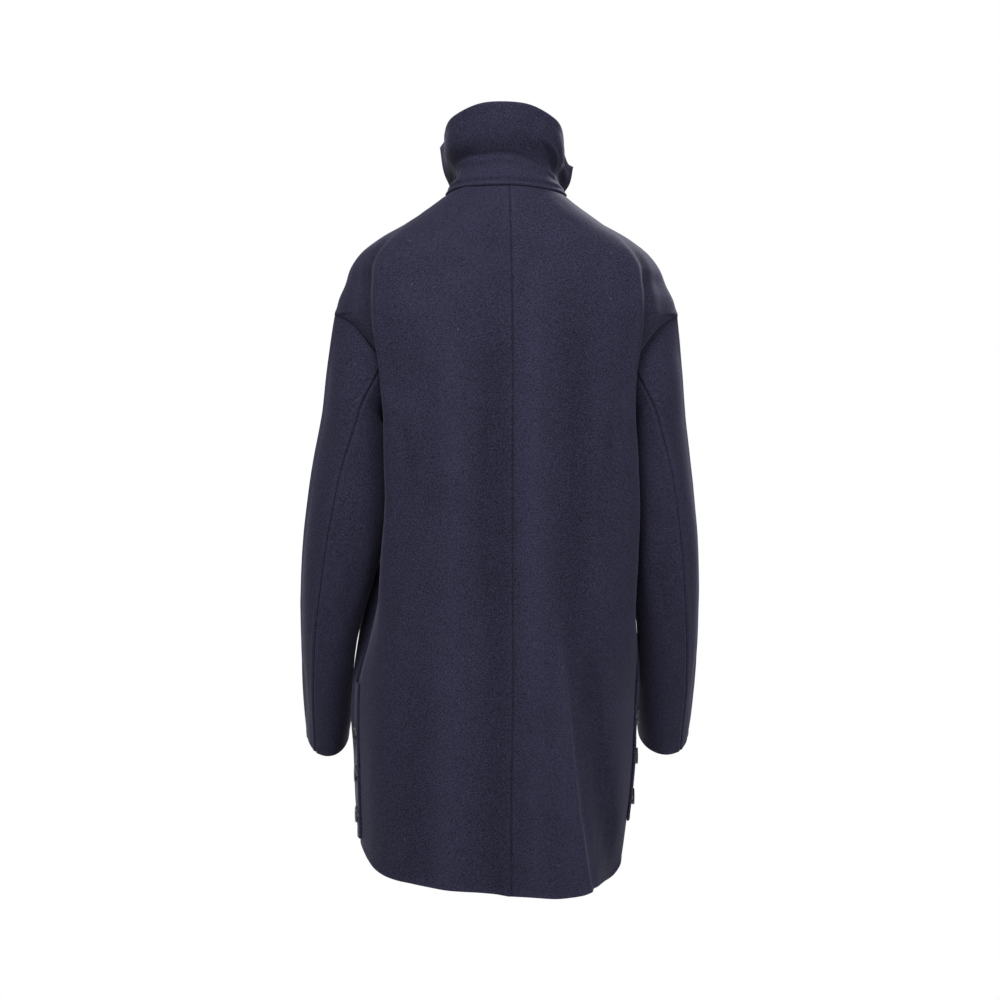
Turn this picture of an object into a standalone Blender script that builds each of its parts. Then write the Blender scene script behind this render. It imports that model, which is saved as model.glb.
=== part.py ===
"""A double-breasted coat in thick double-faced wool, worn and hollow, with its collar turned up.

Millimetres in the tables, metres in the meshes. +Z is up, -Y is the front and +X the wearer's left.
The origin is the middle of the neck opening, at the height of the collar seam at the nape.
Every panel is a grid laid over level sections of the worn coat, with the cloth's wall inside it.
"""

import math

import bmesh
import bpy
import numpy as np
from mathutils import Matrix, Vector

MM = 0.001

# Cloth
CLOTH = 2.4  # one layer of double-faced wool
DOUBLED = 3.4  # collar and lapels, two layers pressed together
SEAM_GAP = 0.5

# Lengths below the nape seam
BACK_LENGTH = 852.0
FRONT_HEM = -780.5
FRONT_TILT = -10.5  # the worn front hangs this much lower at the left side and higher at the right
ARMPIT = -268.0
SLEEVE_HEAD = -148.0  # the seam's highest point, on the outside of the arm

# Double-breasted front, measured across from the centre line
OVERLAP = 95.0
BREAK_POINT = -262.0  # where the lapel starts to roll
GORGE = -24.0  # where the lapel meets the end of the collar
NECK_HALF = 71.6
FRONT_BUTTON_ROWS = (-300.0, -425.0, -550.0)
FRONT_BUTTON_X = 62.0
FRONT_BUTTON_D = 28.0
FRONT_BUTTON_T = 5.0
BUTTON_GAP = 0.4  # from the cloth's outer face to the button's back

# Buttoned side vents
VENT_TOP = -600.0
VENT_BUTTONS_ABOVE_HEM = (29.0, 79.0, 129.0)
VENT_BUTTON_D = 21.0
VENT_BUTTON_SPOT = 0.921  # across the back, where the side seam is 1
VENT_BUTTON_T = 4.2
LAP_LIFT = 3.4

# Torso: height, half width, dent under the arm, depth to the back, depth to the front, front's swell
TORSO = np.array(
    [
        (-870.0, 156.0, 0.0, 120.0, 129.0, 0.0),
        (-813.0, 160.0, 0.0, 126.0, 136.0, 0.0),
        (-763.0, 165.0, 0.0, 130.0, 141.0, 2.0),
        (-688.0, 169.5, 0.0, 131.0, 144.0, 4.0),
        (-638.0, 170.5, 0.0, 129.0, 143.0, 7.5),
        (-588.0, 170.5, 0.5, 127.0, 141.0, 7.8),
        (-538.0, 167.0, 4.0, 124.0, 139.0, 5.0),
        (-463.0, 161.0, 12.0, 121.0, 137.0, 2.0),
        (-388.0, 156.0, 16.0, 119.0, 136.0, 0.0),
        (-313.0, 156.0, 19.0, 117.0, 137.0, 0.0),
    ]
)
# How much further the left front swells out beside the sleeve: height, distance
LEFT_SWELL = np.array(
    [
        (-600.0, 0.0),
        (-575.0, 2.0),
        (-553.0, 8.0),
        (-530.0, 12.8),
        (-500.0, 12.0),
        (-463.0, 8.5),
        (-420.0, 3.5),
        (-380.0, 0.0),
    ]
)
# How far the worn coat has swung to the wearer's left: height, distance
LEAN = np.array(
    [
        (-870.0, 16.5),
        (-813.0, 17.0),
        (-763.0, 14.5),
        (-688.0, 11.8),
        (-638.0, 11.5),
        (-588.0, 8.5),
        (-538.0, 1.5),
        (-463.0, -1.0),
        (-388.0, -6.0),
        (-313.0, -4.0),
        (-240.0, -1.0),
        (-137.0, -1.6),
        (-62.0, 0.7),
        (0.0, 0.0),
    ]
)
# How far the back neck seam arches up over the nape: x, rise
NECK_RISE = np.array(
    [
        (-73.0, 0.0),
        (-61.0, 2.8),
        (-30.0, 7.4),
        (0.0, 9.2),
        (30.0, 8.6),
        (61.0, 5.4),
        (73.0, 0.0),
    ]
)
# Back hem: place from the centre 0 to the side seam 1, rise on the left, rise on the right
BACK_HEM = np.array(
    [
        (0.0, 0.0, 0.0),
        (0.12, 4.2, -1.2),
        (0.30, 8.1, -3.6),
        (0.45, 14.0, -0.4),
        (0.60, 20.5, 9.5),
        (0.72, 30.0, 14.0),
        (0.84, 47.0, 25.0),
        (1.0, 56.0, 35.0),
    ]
)
# Yoke, from the armpit up: height, depth at the centre, roundness, fold x y, turn x y, outer edge x y
BACK_YOKE = np.array(
    [
        (-268.0, 115.0, 0.13, 155.0, 71.0, 143.0, 32.0, 134.0, 0.0),
        (-250.0, 114.0, 0.13, 156.0, 73.0, 148.0, 54.0, 138.0, 36.0),
        (-212.0, 112.0, 0.13, 157.0, 76.0, 160.0, 66.0, 152.0, 53.0),
        (-163.0, 107.2, 0.14, 163.5, 76.0, 178.0, 57.0, 186.0, 38.0),
        (-148.0, 105.0, 0.14, 165.0, 75.0, 189.0, 46.0, 211.0, 8.0),
        (-137.0, 103.0, 0.14, 165.0, 74.0, 189.0, 44.0, 209.0, 8.0),
        (-112.0, 98.0, 0.15, 163.0, 70.0, 182.6, 40.0, 198.4, 7.0),
        (-87.0, 92.0, 0.17, 159.0, 64.0, 178.5, 35.0, 188.3, 6.0),
        (-62.0, 85.0, 0.20, 142.0, 56.0, 157.0, 30.0, 165.7, 4.0),
        (-37.0, 76.0, 0.24, 109.0, 48.0, 119.5, 25.0, 125.0, 2.0),
        (-12.0, 66.0, 0.30, 76.0, 40.0, 84.5, 20.0, 88.0, 1.0),
        (0.0, 60.0, 0.33, 61.0, 36.0, 70.0, 18.0, 73.0, 0.0),
    ]
)
FRONT_YOKE = np.array(
    [
        (-268.0, 136.0, 0.10, 150.0, 86.0, 143.0, 34.0, 134.0, 0.0),
        (-250.0, 135.0, 0.10, 150.0, 87.0, 149.0, 58.0, 139.0, 36.0),
        (-212.0, 132.0, 0.10, 150.0, 87.0, 160.0, 70.0, 155.0, 52.0),
        (-163.0, 124.4, 0.12, 155.3, 79.3, 178.5, 53.5, 187.0, 36.0),
        (-148.0, 121.0, 0.12, 156.5, 76.0, 188.0, 43.5, 211.0, -8.0),
        (-137.0, 118.0, 0.13, 157.0, 74.0, 187.0, 41.0, 209.0, -8.0),
        (-112.0, 111.0, 0.15, 155.0, 68.0, 180.6, 37.0, 198.4, -7.0),
        (-87.0, 102.0, 0.17, 151.0, 62.0, 176.0, 33.0, 188.3, -6.0),
        (-62.0, 92.0, 0.20, 136.0, 56.0, 155.0, 29.0, 165.7, -4.0),
        (-37.0, 80.0, 0.24, 107.0, 50.0, 118.5, 26.0, 125.0, -2.0),
        (-12.0, 68.0, 0.29, 76.0, 42.0, 84.5, 21.0, 88.0, -1.0),
        (0.0, 62.0, 0.33, 61.0, 37.0, 70.0, 18.0, 73.0, 0.0),
    ]
)
FEATURE_SPOTS = np.array([0.0, 0.30, 0.66, 0.84, 1.0])  # centre, blade, fold, turn, outer edge

# Sleeve rings: outer x, inner x, y, z, half depth, outer side up, back side down, lean to the left of
# the outside and of the inside
SLEEVE = np.array(
    [
        (219.0, 146.5, 0.0, -246.0, 56.0, 42.0, 0.0, 0.5, -1.0),
        (224.5, 145.5, -3.0, -292.0, 59.0, 27.0, 0.0, 1.5, -3.0),
        (233.0, 145.0, -5.0, -338.0, 61.0, 13.0, 1.0, 3.5, -4.0),
        (240.0, 146.0, -5.0, -388.0, 62.0, 4.0, 4.0, 4.5, -4.0),
        (245.5, 157.0, -9.0, -463.0, 61.0, 0.0, 10.0, 5.3, 1.5),
        (246.0, 173.0, -24.0, -538.0, 59.0, 0.0, 17.0, 5.3, 7.2),
        (244.5, 178.2, -47.0, -600.0, 57.0, 0.0, 23.0, 5.0, 9.4),
        (242.0, 178.5, -68.0, -643.0, 55.0, 0.0, 27.0, 5.0, 10.1),
        (239.5, 182.6, -80.5, -669.5, 54.0, 0.0, 28.0, 5.0, 9.9),
    ]
)
# Armhole seam, from the outside of the arm round the back: x, y, z
ARMHOLE = np.array(
    [
        (211.0, 8.0, -148.0),
        (186.0, 38.0, -163.0),
        (152.0, 53.0, -207.0),
        (138.0, 36.0, -250.0),
        (134.0, 0.0, -268.0),
        (139.0, -36.0, -250.0),
        (155.0, -52.0, -207.0),
        (187.0, -36.0, -163.0),
    ]
)
# Sleeve seams: how far down, degrees from the outside towards the back for the overarm and back seams
SLEEVE_SEAMS = np.array(
    [
        (0.0, 0.0, 90.0),
        (0.10, 12.0, 103.0),
        (0.20, 13.0, 87.0),
        (0.30, 12.0, 74.0),
        (0.42, 9.0, 66.0),
        (0.6, 6.0, 61.0),
        (0.8, 6.0, 56.0),
        (1.0, 6.0, 54.0),
    ]
)

# Collar, from its right front end round the nape to the left one:
# place, x, y and z of the seam, height, crease in, flare out at the top
COLLAR = np.array(
    [
        (-1.0, -77.0, -54.0, -18.0, 59.0, 1.0, 15.0),
        (-0.88, -76.3, -40.0, -9.0, 54.0, 3.0, 7.5),
        (-0.76, -74.5, -26.0, -2.0, 64.0, 5.0, 2.2),
        (-0.60, -73.5, 0.0, 0.0, 72.0, 9.0, 2.0),
        (-0.37, -61.0, 34.0, 0.0, 90.5, 10.0, 3.5),
        (-0.17, -30.0, 52.0, 0.0, 105.5, 8.5, 4.0),
        (0.0, 0.0, 60.0, 0.0, 108.3, 7.5, 4.0),
        (0.17, 30.0, 52.0, 0.0, 106.5, 8.5, 4.0),
        (0.37, 60.0, 34.0, 0.0, 93.0, 11.0, 3.5),
        (0.60, 71.0, 0.0, 0.0, 76.0, 10.0, 1.0),
        (0.76, 67.6, -26.0, -1.5, 73.0, 6.0, 3.5),
        (1.0, 65.0, -56.0, -24.0, 89.0, 2.0, 11.0),
    ]
)
COLLAR_SWAY = 3.0  # how far the top leans to the wearer's left
COLLAR_HEIGHTS = np.array([0.0, 0.08, 0.18, 0.34, 0.55, 0.8, 1.0])
COLLAR_LIFT = 0.9

# Lapel, in the front view: x and z of its point
LAPEL_POINT = (150.0, -92.0)

# The deep fold on the right of the back, from where it starts down to the hem
DEEP_FOLD_TOP = -500.0
DEEP_FOLD_DEPTH = 25.0

# Columns of the panels' grids, and steps of half a sleeve's round
BACK_COLUMNS = {"left": 13, "right": 19}
VENT_LAP_COLUMNS = {"left": 2, "right": 3}
FRONT_COLUMNS = 13
SLEEVE_SPLIT = 12
ARMHOLE_GAP = 0.7

WOOL = ("navy_wool", (0.028, 0.027, 0.051, 1.0), 0.95, 0.0)
HORN = ("dark_button", (0.012, 0.012, 0.014, 1.0), 0.35, 0.0)


def smooth(knots, values, at):
    """A smooth curve through values at the knots, read at the places in at."""
    knots, values = np.asarray(knots, float), np.asarray(values, float)
    at = np.clip(np.asarray(at, float), knots[0], knots[-1])
    slopes = np.gradient(values, knots, axis=0)
    i = np.clip(np.searchsorted(knots, at, side="right") - 1, 0, len(knots) - 2)
    step = knots[i + 1] - knots[i]
    t = (at - knots[i]) / step
    if values.ndim > 1:
        t, step = t[..., None], step[..., None]
    return (
        values[i] * (1 + 2 * t) * (1 - t) ** 2
        + values[i + 1] * t**2 * (3 - 2 * t)
        + slopes[i] * step * t * (1 - t) ** 2
        - slopes[i + 1] * step * t**2 * (1 - t)
    )


def ease(low, high, value):
    """0 below low, 1 above high, and smooth between them."""
    t = np.clip((value - low) / (high - low), 0.0, 1.0)
    return t * t * (3 - 2 * t)


def torso_rows(face):
    """The torso's sections as rows of a yoke table, for the back or the front."""
    height, width, dent = TORSO[:, 0], TORSO[:, 1], TORSO[:, 2]
    depth = TORSO[:, 3] if face == "back" else TORSO[:, 4]
    pushed = np.clip(dent / 16.0, 0.0, 1.0)
    fold_x = width * (0.88 + 0.12 * pushed)
    return np.column_stack(
        [
            height,
            depth,
            np.full_like(height, 0.12),
            fold_x - (0.0 if face == "back" else 4.0) * pushed,
            depth * 0.60,
            width * 0.985 - 0.55 * dent + (0.0 if face == "back" else TORSO[:, 5]),
            depth * 0.26,
            width - dent,
            np.zeros_like(height),
        ]
    )


SECTIONS = {
    "back": np.vstack([torso_rows("back"), BACK_YOKE]),
    "front": np.vstack([torso_rows("front"), FRONT_YOKE]),
}


def lean_at(height):
    """How far the worn coat has swung to the wearer's left at a height."""
    return smooth(LEAN[:, 0], LEAN[:, 1], height)


def armhole_ring(angles):
    """Points of the armhole seam on the wearer's left, at degrees from the outside round the back."""
    knots = np.arange(-2, len(ARMHOLE) + 3) * 45.0
    points = ARMHOLE[np.arange(-2, len(ARMHOLE) + 3) % len(ARMHOLE)]
    return smooth(knots, points, np.asarray(angles) % 360.0)


def armhole_edge(face, height):
    """x and depth where the armhole seam cuts a level section of the back or the front."""
    low, high = (0.0, 180.0) if face == "back" else (180.0, 360.0)
    ring = armhole_ring(np.linspace(low, high - 1e-6, 181))
    ring = ring[np.argsort(ring[:, 2])]
    x, y = (np.interp(height, ring[:, 2], ring[:, axis]) for axis in (0, 1))
    return x, y if face == "back" else -y


def feature_points(face, height):
    """Centre, blade, fold, turn and outer edge of a level section, on the wearer's left."""
    table = SECTIONS[face]
    depth, round_, fold_x, fold_y, turn_x, turn_y, out_x, out_y = smooth(
        table[:, 0], table[:, 1:], height
    )
    if ARMPIT <= height <= SLEEVE_HEAD:
        out_x, out_y = armhole_edge(face, height)
    return np.array(
        [
            (0.0, depth),
            (0.5 * fold_x, depth - round_ * (depth - fold_y)),
            (fold_x, fold_y),
            (turn_x, turn_y),
            (out_x, out_y),
        ]
    )


def section(face, height, spots):
    """x and depth of a level section at spots from 0, the centre, to 1, the outer edge."""
    points = feature_points(face, height)
    other = feature_points("front" if face == "back" else "back", height)
    before = points[1] * (-1.0, 1.0)
    after = other[3] * (1.0, -1.0)
    if ARMPIT < height < SLEEVE_HEAD:
        after = 2 * points[4] - points[3]
    knots = np.concatenate([[-FEATURE_SPOTS[1]], FEATURE_SPOTS, [2.0 - FEATURE_SPOTS[3]]])
    return smooth(knots, np.vstack([before, points, after]), np.abs(spots))


def front_spot(height, x):
    """The signed spot on the front's section where it is x from the centre line."""
    spots = np.linspace(0.0, 0.8, 121)
    across = section("front", height, spots)[:, 0]
    return math.copysign(float(np.interp(abs(x), across, spots)), x)


def front_point(height, spot, lift=0.0):
    """A point of the front's section, moved out by lift. A negative spot is past the centre line."""
    spots = np.array([abs(spot) - 0.004, abs(spot), abs(spot) + 0.004])
    x, depth = section("front", height, spots).T
    along = np.array([x[2] - x[0], depth[2] - depth[0]])
    along /= np.linalg.norm(along)
    x, depth = x[1] - along[1] * lift, depth[1] + along[0] * lift
    return np.array([math.copysign(x, spot) if spot else 0.0, -depth, height])


def back_hem(spot, side):
    """How far the back hem has risen above its lowest point."""
    return float(smooth(BACK_HEM[:, 0], BACK_HEM[:, 1 if side > 0 else 2], spot))


def front_hem(x):
    """Height of the front hem at x across the coat."""
    return FRONT_HEM + FRONT_TILT * x / 170.0


def centre_back(height):
    """x of the centre back seam, which has swung a little to the wearer's right."""
    return smooth((-870.0, -775.0, -600.0, -400.0, -150.0, 0.0), (-2.0, -0.6, -2.9, -2.7, -3.5, -2.2), height)


def soft_folds(x, height, side):
    """Depth added to the back by its soft vertical folds and by the deep fold on the right."""
    hang = float(ease(-60.0, -220.0, height))
    folds = 3.5 * math.exp(-(((x + 30.0) / 16.0) ** 2)) - 3.5 * math.exp(-(((x - 16.0) / 18.0) ** 2))
    folds -= 3.0 * math.exp(-(((x + 78.0) / 20.0) ** 2)) * float(ease(-620.0, -480.0, height))
    folds += 2.5 * math.exp(-(((x - 78.0) / 22.0) ** 2))
    if side < 0:
        drop = float(np.clip((DEEP_FOLD_TOP - height) / (BACK_LENGTH + DEEP_FOLD_TOP), 0.0, 1.0))
        ridge = -62.0 - 12.0 * drop - 24.0 * drop**2
        crest = 0.6 * math.exp(-(((x - ridge) / 18.0) ** 2))
        trough = math.exp(-(((x - ridge + 29.0) / 16.0) ** 2))
        folds += DEEP_FOLD_DEPTH * drop**1.25 * (crest - trough)
    return hang * folds


def neck_rise(x, y):
    """How far the back neck seam has risen at a place on it."""
    return smooth(NECK_RISE[:, 0], NECK_RISE[:, 1], x) * ease(0.0, 16.0, y)


def back_point(side, height, spot):
    """A point of the back's outer face. side is 1 for the wearer's left and -1 for the right."""
    x, depth = section("back", height, np.array([spot]))[0]
    settled = float(ease(0.0, 0.6, abs(spot)))
    x = side * math.copysign(x, spot) + settled * float(lean_at(height)) + (1 - settled) * float(centre_back(height))
    fade = 1.0 - float(ease(0.75, 0.97, spot))
    rise = float(ease(-60.0, 0.0, height) * neck_rise(x, depth))
    return np.array([x, depth + fade * soft_folds(x, height, side), height + rise])


def heights_from(hem):
    """Rows from the hem to the neck: at the top of the vent, and at the sleeve's own places."""
    vent = np.linspace(hem, VENT_TOP, 5)[:-1]
    lower = np.linspace(VENT_TOP, ARMPIT, 7)[:-1]
    armhole = armhole_ring(np.linspace(180.0, 0.0, SLEEVE_SPLIT + 1))[:-1, 2]
    return np.concatenate([vent, lower, armhole, np.linspace(SLEEVE_HEAD, 0.0, 7)])


def side_gap(heights):
    """Half the side and shoulder seam's gap, and none at the armhole, where the sleeve leaves it."""
    at_armhole = (heights > ARMPIT + 1e-6) & (heights < SLEEVE_HEAD - 1e-6)
    return np.where(at_armhole, 0.0, SEAM_GAP / 2)


def build_back(side, name, material):
    """One half of the back, rows up and columns from the centre seam out to the side."""
    columns = BACK_COLUMNS[name]
    spots = np.arange(-1, columns + 2) / columns
    heights = heights_from(-BACK_LENGTH)
    grid = np.empty((len(heights), len(spots), 3))
    for i, height in enumerate(heights):
        near_hem = 1.0 - float(ease(-BACK_LENGTH, -680.0, height))
        for j, spot in enumerate(spots):
            rise = near_hem * back_hem(min(abs(spot), 1.0), side)
            grid[i, j] = back_point(side, height + rise, spot)
    gaps = (SEAM_GAP / 2, side_gap(heights))
    return cloth_object(f"back_{name}", grid, CLOTH, material, flip=side > 0, ghosts=(1, 1), gaps=gaps)


def front_edge_x(height):
    """How far past the centre line a front reaches: its edge, then the roll of its lapel."""
    roll = (height - BREAK_POINT) / (GORGE - BREAK_POINT)
    if roll <= 0:
        return -OVERLAP
    if roll >= 1:
        return NECK_HALF
    return -OVERLAP + (NECK_HALF + OVERLAP) * (roll - 0.06 * math.sin(math.pi * roll))


def wrap_lift(side, spot, height):
    """The right front lies over the left one, and lifts over the lapel tucked under it."""
    if side > 0:
        return 0.0
    over = CLOTH + 1.8 + 5.4 * float(ease(ARMPIT, -200.0, height))
    return over * (1.0 - float(ease(0.36, 0.60, spot)))


def lap_point(side, height, spot, lift):
    """A point over the back in the vent, and the direction it is lifted off the back's outer face."""
    near, point, far = (back_point(side, height, spot + step) for step in (-0.03, 0.0, 0.03))
    along = (near - far)[:2] / np.linalg.norm((near - far)[:2])
    out = side * np.array([along[1], -along[0], 0.0])
    return point + lift * out, out


def build_front(side, name, material):
    """One front, from its edge out to the side seam and, in the vent, on over the back."""
    heights = heights_from(FRONT_HEM)
    laps = VENT_LAP_COLUMNS[name]
    shares = np.arange(0, FRONT_COLUMNS + 1) / FRONT_COLUMNS
    grid = np.empty((len(heights), FRONT_COLUMNS + laps + 1, 3))
    ghost = np.empty((len(heights), 1, 3))
    for i, height in enumerate(heights):
        first = front_spot(height, front_edge_x(height))
        near_hem = 1.0 - float(ease(FRONT_HEM, -680.0, height))
        vent = 1.0 - float(ease(VENT_TOP, VENT_TOP + 60.0, height))
        for j, share in enumerate(shares):
            spot = first + (1.0 - first) * share
            grid[i, j] = front_place(side, height, spot, near_hem, vent)
        ghost[i, 0] = front_place(side, height, 1.0 + (1.0 - first) / FRONT_COLUMNS, near_hem, vent)
        for j in range(1, laps + 1):
            z = height + near_hem * (front_hem(side * 165.0) - FRONT_HEM)
            spot = 1.0 - j / BACK_COLUMNS[name]
            grid[i, FRONT_COLUMNS + j] = lap_point(side, z, spot, LAP_LIFT)[0]
    lapped = heights <= VENT_TOP + 1e-6
    keep = np.ones((len(heights) - 1, FRONT_COLUMNS + laps), bool)
    keep[~lapped[1:], FRONT_COLUMNS:] = False
    seam = grid.copy()
    seam[~lapped, FRONT_COLUMNS + 1] = ghost[~lapped, 0]
    step = seam[~lapped, FRONT_COLUMNS - 1] - seam[~lapped, FRONT_COLUMNS]
    step *= side_gap(heights)[~lapped, None] / np.linalg.norm(step, axis=1)[:, None]
    seam[~lapped, FRONT_COLUMNS] += step
    return cloth_object(f"front_{name}", seam, CLOTH, material, flip=side < 0, keep=keep)


def front_place(side, height, spot, near_hem, vent):
    """A point of the worn front's outer face, with its hem's tilt, its wrap and its lap."""
    across = side * math.copysign(section("front", height, np.array([spot]))[0, 0], spot)
    z = height + near_hem * (front_hem(across) - FRONT_HEM)
    lift = wrap_lift(side, spot, z) + LAP_LIFT * vent * float(ease(0.70, 0.95, spot))
    x, y, _ = front_point(z, spot, lift)
    return np.array([side * x + float(lean_at(z)) + left_swell(side, z, spot), y, z])


def left_swell(side, height, spot):
    """How much further the left front swells out beside the sleeve."""
    beside = float(ease(0.60, 0.82, spot) * (1 - ease(0.86, 1.0, spot)))
    return beside * float(smooth(LEFT_SWELL[:, 0], LEFT_SWELL[:, 1], height)) if side > 0 else 0.0


def outward(grid, flip):
    """Unit normals of a grid of points, along each column's and row's own direction."""
    along, up = np.gradient(grid, axis=1), np.gradient(grid, axis=0)
    normals = np.cross(along, up) * (-1.0 if flip else 1.0)
    return normals / np.linalg.norm(normals, axis=2)[..., None]


def seam_gap(outer, inner, first, last):
    """Moves the first and last columns in along their rows, to leave half of each seam's gap."""
    for edge, beside, gap in ((0, 1, first), (-1, -2, last)):
        step = outer[:, beside] - outer[:, edge]
        step *= gap / np.linalg.norm(step, axis=1)[:, None]
        outer[:, edge] += step
        inner[:, edge] += step


def cloth_object(name, grid, thickness, material, flip=False, ghosts=(0, 0), gaps=(0.0, 0.0), keep=None):
    """A closed wall of cloth whose outer face is the grid of points.

    ghosts: columns at each end that only shape the normals, so that both sides of a seam agree.
    gaps: how far the first and last columns stand back from their seams, one value or one a row.
    keep: which of the grid's faces are cloth, where not all of them are.
    """
    normals = outward(grid, flip)
    shown = slice(ghosts[0], grid.shape[1] - ghosts[1])
    outer = grid[:, shown].copy()
    inner = outer - thickness * normals[:, shown]
    seam_gap(outer, inner, *(np.broadcast_to(gap, len(grid))[:, None] for gap in gaps))
    rows, columns = outer.shape[:2]
    keep = np.ones((rows - 1, columns - 1), bool) if keep is None else keep
    shape = bmesh.new()
    verts = [[shape.verts.new(point * MM) for point in side.reshape(-1, 3)] for side in (outer, inner)]
    for row, column in np.argwhere(keep):
        corner = row * columns + column
        ring = [corner, corner + 1, corner + columns + 1, corner + columns]
        ring = [ring[0], *ring[:0:-1]] if flip else ring
        for half in (ring[:3], [ring[0], *ring[2:]]):
            shape.faces.new([verts[0][i] for i in half])
            shape.faces.new([verts[1][i] for i in half[::-1]])
        for a, b in zip(ring, ring[1:] + ring[:1]):
            if not across_edge_kept(keep, a, b, columns):
                shape.faces.new([verts[0][b], verts[0][a], verts[1][a], verts[1][b]])
    loose = [vert for vert in shape.verts if not vert.link_faces]
    bmesh.ops.delete(shape, geom=loose, context="VERTS")
    mesh = bpy.data.meshes.new(name)
    shape.to_mesh(mesh)
    shape.free()
    mesh.shade_smooth()
    mesh.materials.append(material)
    return bpy.data.objects.new(name, mesh)


def across_edge_kept(keep, a, b, columns):
    """Whether the faces on both sides of a grid edge are cloth, so that no rim belongs there."""
    (row, column), (other_row, other_column) = sorted((divmod(int(a), columns), divmod(int(b), columns)))
    if row == other_row:
        beside = [(row - 1, column), (row, column)]
    else:
        beside = [(row, column - 1), (row, column)]
    inside = [0 <= r < keep.shape[0] and 0 <= c < keep.shape[1] and keep[r, c] for r, c in beside]
    return all(inside)


def sleeve_ring(row, angles):
    """Points round one ring of a sleeve as if it were on the wearer's left."""
    outer, inner, y, z, half_depth, raised, bent = row[:7]
    turn = np.radians(angles)
    raised, bent = math.radians(raised), math.radians(bent)
    across, back = (outer - inner) / 2 * np.cos(turn), half_depth * np.sin(turn)
    return np.column_stack(
        [
            (outer + inner) / 2 + across,
            y + back * math.cos(bent),
            z + across * math.tan(raised) - back * math.sin(bent),
        ]
    )


def sleeve_grid(side, angle_rows, downs):
    """Sleeve points in rows at shares of its length, each row with its own angles."""
    middle = np.column_stack([SLEEVE[:, :2].mean(axis=1), SLEEVE[:, 2:4]])
    steps = np.linalg.norm(np.diff(middle, axis=0), axis=1)
    knots = np.cumsum(np.concatenate([[0.0, 55.0], steps]))
    knots /= knots[-1]
    grid = np.empty((len(downs), len(angle_rows[0]), 3))
    for i, (down, angles) in enumerate(zip(downs, angle_rows)):
        rings = [armhole_ring(angles)] + [sleeve_ring(row, angles) for row in SLEEVE]
        point = smooth(knots, np.stack(rings), np.array([down]))[0]
        settled = min(1.0, down / knots[1])
        outer_lean, inner_lean = settled * smooth(knots[1:], SLEEVE[:, 7:9], np.array([down]))[0]
        outside = (1 + np.cos(np.radians(angles))) / 2 * settled
        lean = outside * outer_lean + (1 - outside) * (inner_lean + (1 - settled) * lean_at(point[:, 2]))
        grid[i] = point
        grid[i, :, 0] = side * point[:, 0] + lean
    return grid


def build_sleeve(side, name, material):
    """The back strip and the front part of one sleeve, from the armhole down to the cuff."""
    downs = np.linspace(0.0, 1.0, 15)
    overarm, back = smooth(SLEEVE_SEAMS[:, 0], SLEEVE_SEAMS[:, 1:], downs).T
    strip_steps = SLEEVE_SPLIT // 2
    rest_steps = 3 * SLEEVE_SPLIT // 2
    made = []
    for part, low, high, steps in (
        ("back", overarm, back, strip_steps),
        ("front", back, overarm + 360.0, rest_steps),
    ):
        shares = np.arange(-1, steps + 2) / steps
        rows = low[:, None] + (high - low)[:, None] * shares
        grid = sleeve_grid(side, rows, downs)
        step = grid[1] - grid[0]
        grid[0] += ARMHOLE_GAP * step / np.linalg.norm(step, axis=1)[:, None]
        grid[0, :, 0] += side * ARMHOLE_GAP * (1 - np.cos(np.radians(rows[0]))) / 2
        gaps = (SEAM_GAP / 2, SEAM_GAP / 2)
        made.append(
            cloth_object(
                f"sleeve_{part}_{name}", grid, CLOTH, material, flip=side > 0, ghosts=(1, 1), gaps=gaps
            )
        )
    return made


def collar_rows(spots):
    """The collar's table read at spots from -1, its right front end, to 1, its left one."""
    return smooth(COLLAR[:, 0], COLLAR[:, 1:], spots)


def build_collar(material):
    """The turned-up collar in one piece: a stand that leans in to a crease, and a fall that leans out."""
    spots = np.linspace(-1.0, 1.0, 37)
    table = collar_rows(spots)
    ahead = collar_rows(np.clip(spots + 0.01, -1, 1)) - collar_rows(np.clip(spots - 0.01, -1, 1))
    ahead = ahead[:, :2] / np.linalg.norm(ahead[:, :2], axis=1)[:, None]
    out = np.column_stack([-ahead[:, 1], ahead[:, 0]])
    crease, flare = table[:, 4], table[:, 5]
    foot = table[:, 2] + neck_rise(table[:, 0], table[:, 1])
    tall = table[:, 2] + table[:, 3] - foot
    profile = np.stack([0 * crease, 0.05 * crease, -0.6 * crease, -crease, 0.6 * flare, flare])
    grid = np.empty((len(COLLAR_HEIGHTS), len(spots), 3))
    for i, share in enumerate(COLLAR_HEIGHTS):
        bulge = smooth((0.0, 0.08, 0.18, 0.34, 0.62, 1.0), profile, np.array([share]))[0]
        grid[i, :, :2] = table[:, :2] + out * bulge[:, None]
        grid[i, :, 0] += COLLAR_SWAY * share
        grid[i, :, 2] = foot + COLLAR_LIFT + tall * share
    return cloth_object("collar", grid, DOUBLED, material, flip=True)


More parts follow.
